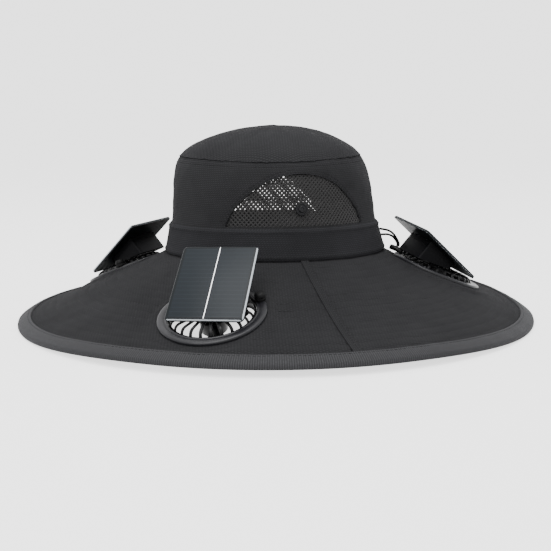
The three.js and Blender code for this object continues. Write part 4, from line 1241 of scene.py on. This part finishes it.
# Lead: two thin sleeved wires that leave the band side by side, arch over to a small plug on the
# right fan's flange, and a short tail from the plug down to the duct. They are held at both ends.
sleeve = flecked(
    "pvc_wire_sleeve", {"Roughness": 0.42, "Specular IOR Level": 0.2}, 600, 3, "#060607", "#0c0c0d",
)
WIRE_RADIUS, TAIL_RADIUS, WIRE_PITCH = 1, 0.9, 1.3
PLUG_LENGTH, PLUG_WIDTH, PLUG_HEIGHT, PLUG_SET_OUT = 13, 7, 4.5, 0.8
PLUG_FOOT, PLUG_NEAR = FLANGE_HEIGHT + GAP, DUCT_RADIUS + PLUG_SET_OUT
LEAD_ROUTE = [(0.2, 0.09), (0.45, 0.2), (0.7, 0.22), (0.88, 0.12)]
TAIL_ROUTE = [(0, 0.62, 0.5), (0.28, 0.62, 0.6), (0.48, 0.42, 0.62), (0.48, 0.2, 0.45), (0.42, 0.1, 0.18)]
PLUG_AZIMUTH, LEAD_AZIMUTH = 42, 110
plug_place = fan_places["right"] @ Matrix.Rotation(math.radians(-PLUG_AZIMUTH), 4, "Z")


def wire(name, points, radius, replaced):
    """A smooth round wire through points in millimetres."""
    curve = bpy.data.curves.new(name + "_path", "CURVE")
    curve.dimensions = "3D"
    curve.bevel_depth = radius * MM
    curve.bevel_resolution = 4
    curve.resolution_u = 10
    curve.use_fill_caps = True
    spline = curve.splines.new("NURBS")
    spline.points.add(len(points) - 1)
    for spot, point in zip(spline.points, points):
        spot.co = (*(point * MM), 1)
    spline.order_u = 3
    spline.use_endpoint_u = True
    holder = bpy.data.objects.new(name + "_path", curve)
    bpy.context.collection.objects.link(holder)
    bpy.context.view_layer.update()
    mesh = bpy.data.meshes.new_from_object(holder.evaluated_get(bpy.context.evaluated_depsgraph_get()))
    bpy.data.objects.remove(holder)
    bm = bmesh.new()
    bm.from_mesh(mesh)
    bmesh.ops.scale(bm, vec=(1 / MM,) * 3, verts=bm.verts)
    made = finish_mesh(name, bm, sleeve, 60)
    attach(made, "hat")
    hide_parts(replaced)
    return made


for label, rise, aside in (("upper", 0.64, 1), ("lower", 0.42, -1)):
    held = wall_point(LEAD_AZIMUTH, CROWN_FOOT + BAND_HEIGHT * rise, BAND_CLOTH + 3 * GAP)
    end = Vector((0, PLUG_NEAR + PLUG_LENGTH / 2, PLUG_FOOT + PLUG_HEIGHT + GAP))
    above = plug_place @ (end + Vector((0, 0, PLUG_HEIGHT / 2)))
    across = Vector((above.y - held.y, held.x - above.x, 0)).normalized() * aside * WIRE_PITCH
    held, above, end = held + across, above + across, plug_place @ end + across
    run = (above - held).length
    points = [held] + [
        held.lerp(above, along) + Vector((0, 0, lift * run)) for along, lift in LEAD_ROUTE
    ] + [above, end]
    wire("lead_wire_" + label + "_sleeve", points, WIRE_RADIUS, "lead_wire_" + label)
tail = []
for a, b, c in TAIL_ROUTE:
    aside = -PLUG_WIDTH / 2 - GAP - a * PLUG_WIDTH
    tail.append(plug_place @ Vector((aside, PLUG_NEAR + PLUG_LENGTH * b, PLUG_FOOT + PLUG_HEIGHT * c)))
wire("lead_tail_sleeve", tail, TAIL_RADIUS, "lead_tail")
bm = bmesh.new()
seat = plug_place @ Matrix.Translation((0, PLUG_NEAR + PLUG_LENGTH / 2, 0))
plate(bm, PLUG_WIDTH, PLUG_LENGTH, PLUG_FOOT, PLUG_FOOT + PLUG_HEIGHT, 1.6, 1.2, 0.6, seat)
plug = finish_mesh("lead_plug_body", bm, fan_abs, 35)
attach(plug, "hat")
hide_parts("lead_plug")

# Studio: a pale paper floor under a white sky, with three soft lamps and the camera in front of the
# hat. None of it belongs to the hat.
FLOOR_GLOW, SKY_STRENGTH, LAMP_AIM = 1.65, 2.6, (0, 0, 0.06)
floor_paper, tree, shader = new_material("pale_paper_floor", {
    "Base Color": linear("#a4a4a4"), "Roughness": 0.9, "Specular IOR Level": 0.0,
    "Emission Color": (1, 1, 1, 1), "Emission Strength": FLOOR_GLOW,
})
bm = bmesh.new()
bmesh.ops.create_grid(bm, x_segments=1, y_segments=1, size=30)
mesh = bpy.data.meshes.new("floor")
bm.to_mesh(mesh)
bm.free()
mesh.materials.append(floor_paper)
floor = bpy.data.objects.new("floor", mesh)
bpy.context.collection.objects.link(floor)
sky = bpy.data.worlds.new("white_sky")
sky.use_nodes = True
sky.node_tree.nodes["Background"].inputs["Color"].default_value = (1, 1, 1, 1)
sky.node_tree.nodes["Background"].inputs["Strength"].default_value = SKY_STRENGTH
bpy.context.scene.world = sky
LAMPS = [  # name, place, size, watts
    ("key", (-0.3, -1.6, 1.5), 1.4, 34),
    ("fill", (1.2, -1.4, 1.2), 1.2, 2),
    ("top", (0.0, -0.3, 2.1), 1.4, 52),
]
for name, spot, size, watts in LAMPS:
    lamp = bpy.data.lights.new(name, "AREA")
    lamp.shape = "DISK"
    lamp.size = size
    lamp.energy = watts
    holder = bpy.data.objects.new(name, lamp)
    holder.location = spot
    holder.rotation_euler = (Vector(LAMP_AIM) - Vector(spot)).to_track_quat("-Z", "Y").to_euler()
    bpy.context.collection.objects.link(holder)

LENS, SENSOR = 56.68, 36
CAMERA_PLACE = (0.2197, -0.7417, 0.1539)
CAMERA_AZIMUTH, CAMERA_PITCH, CAMERA_ROLL = 16.5, 8.91, -0.42
camera_data = bpy.data.cameras.new("camera")
camera_data.lens, camera_data.sensor_width = LENS, SENSOR
camera = bpy.data.objects.new("camera", camera_data)
bpy.context.collection.objects.link(camera)
place = Matrix.Translation(CAMERA_PLACE)
for angle, axis in ((CAMERA_AZIMUTH, "Z"), (90 - CAMERA_PITCH, "X"), (CAMERA_ROLL, "Z")):
    place = place @ Matrix.Rotation(math.radians(angle), 4, axis)
camera.matrix_world = place
bpy.context.scene.camera = camera
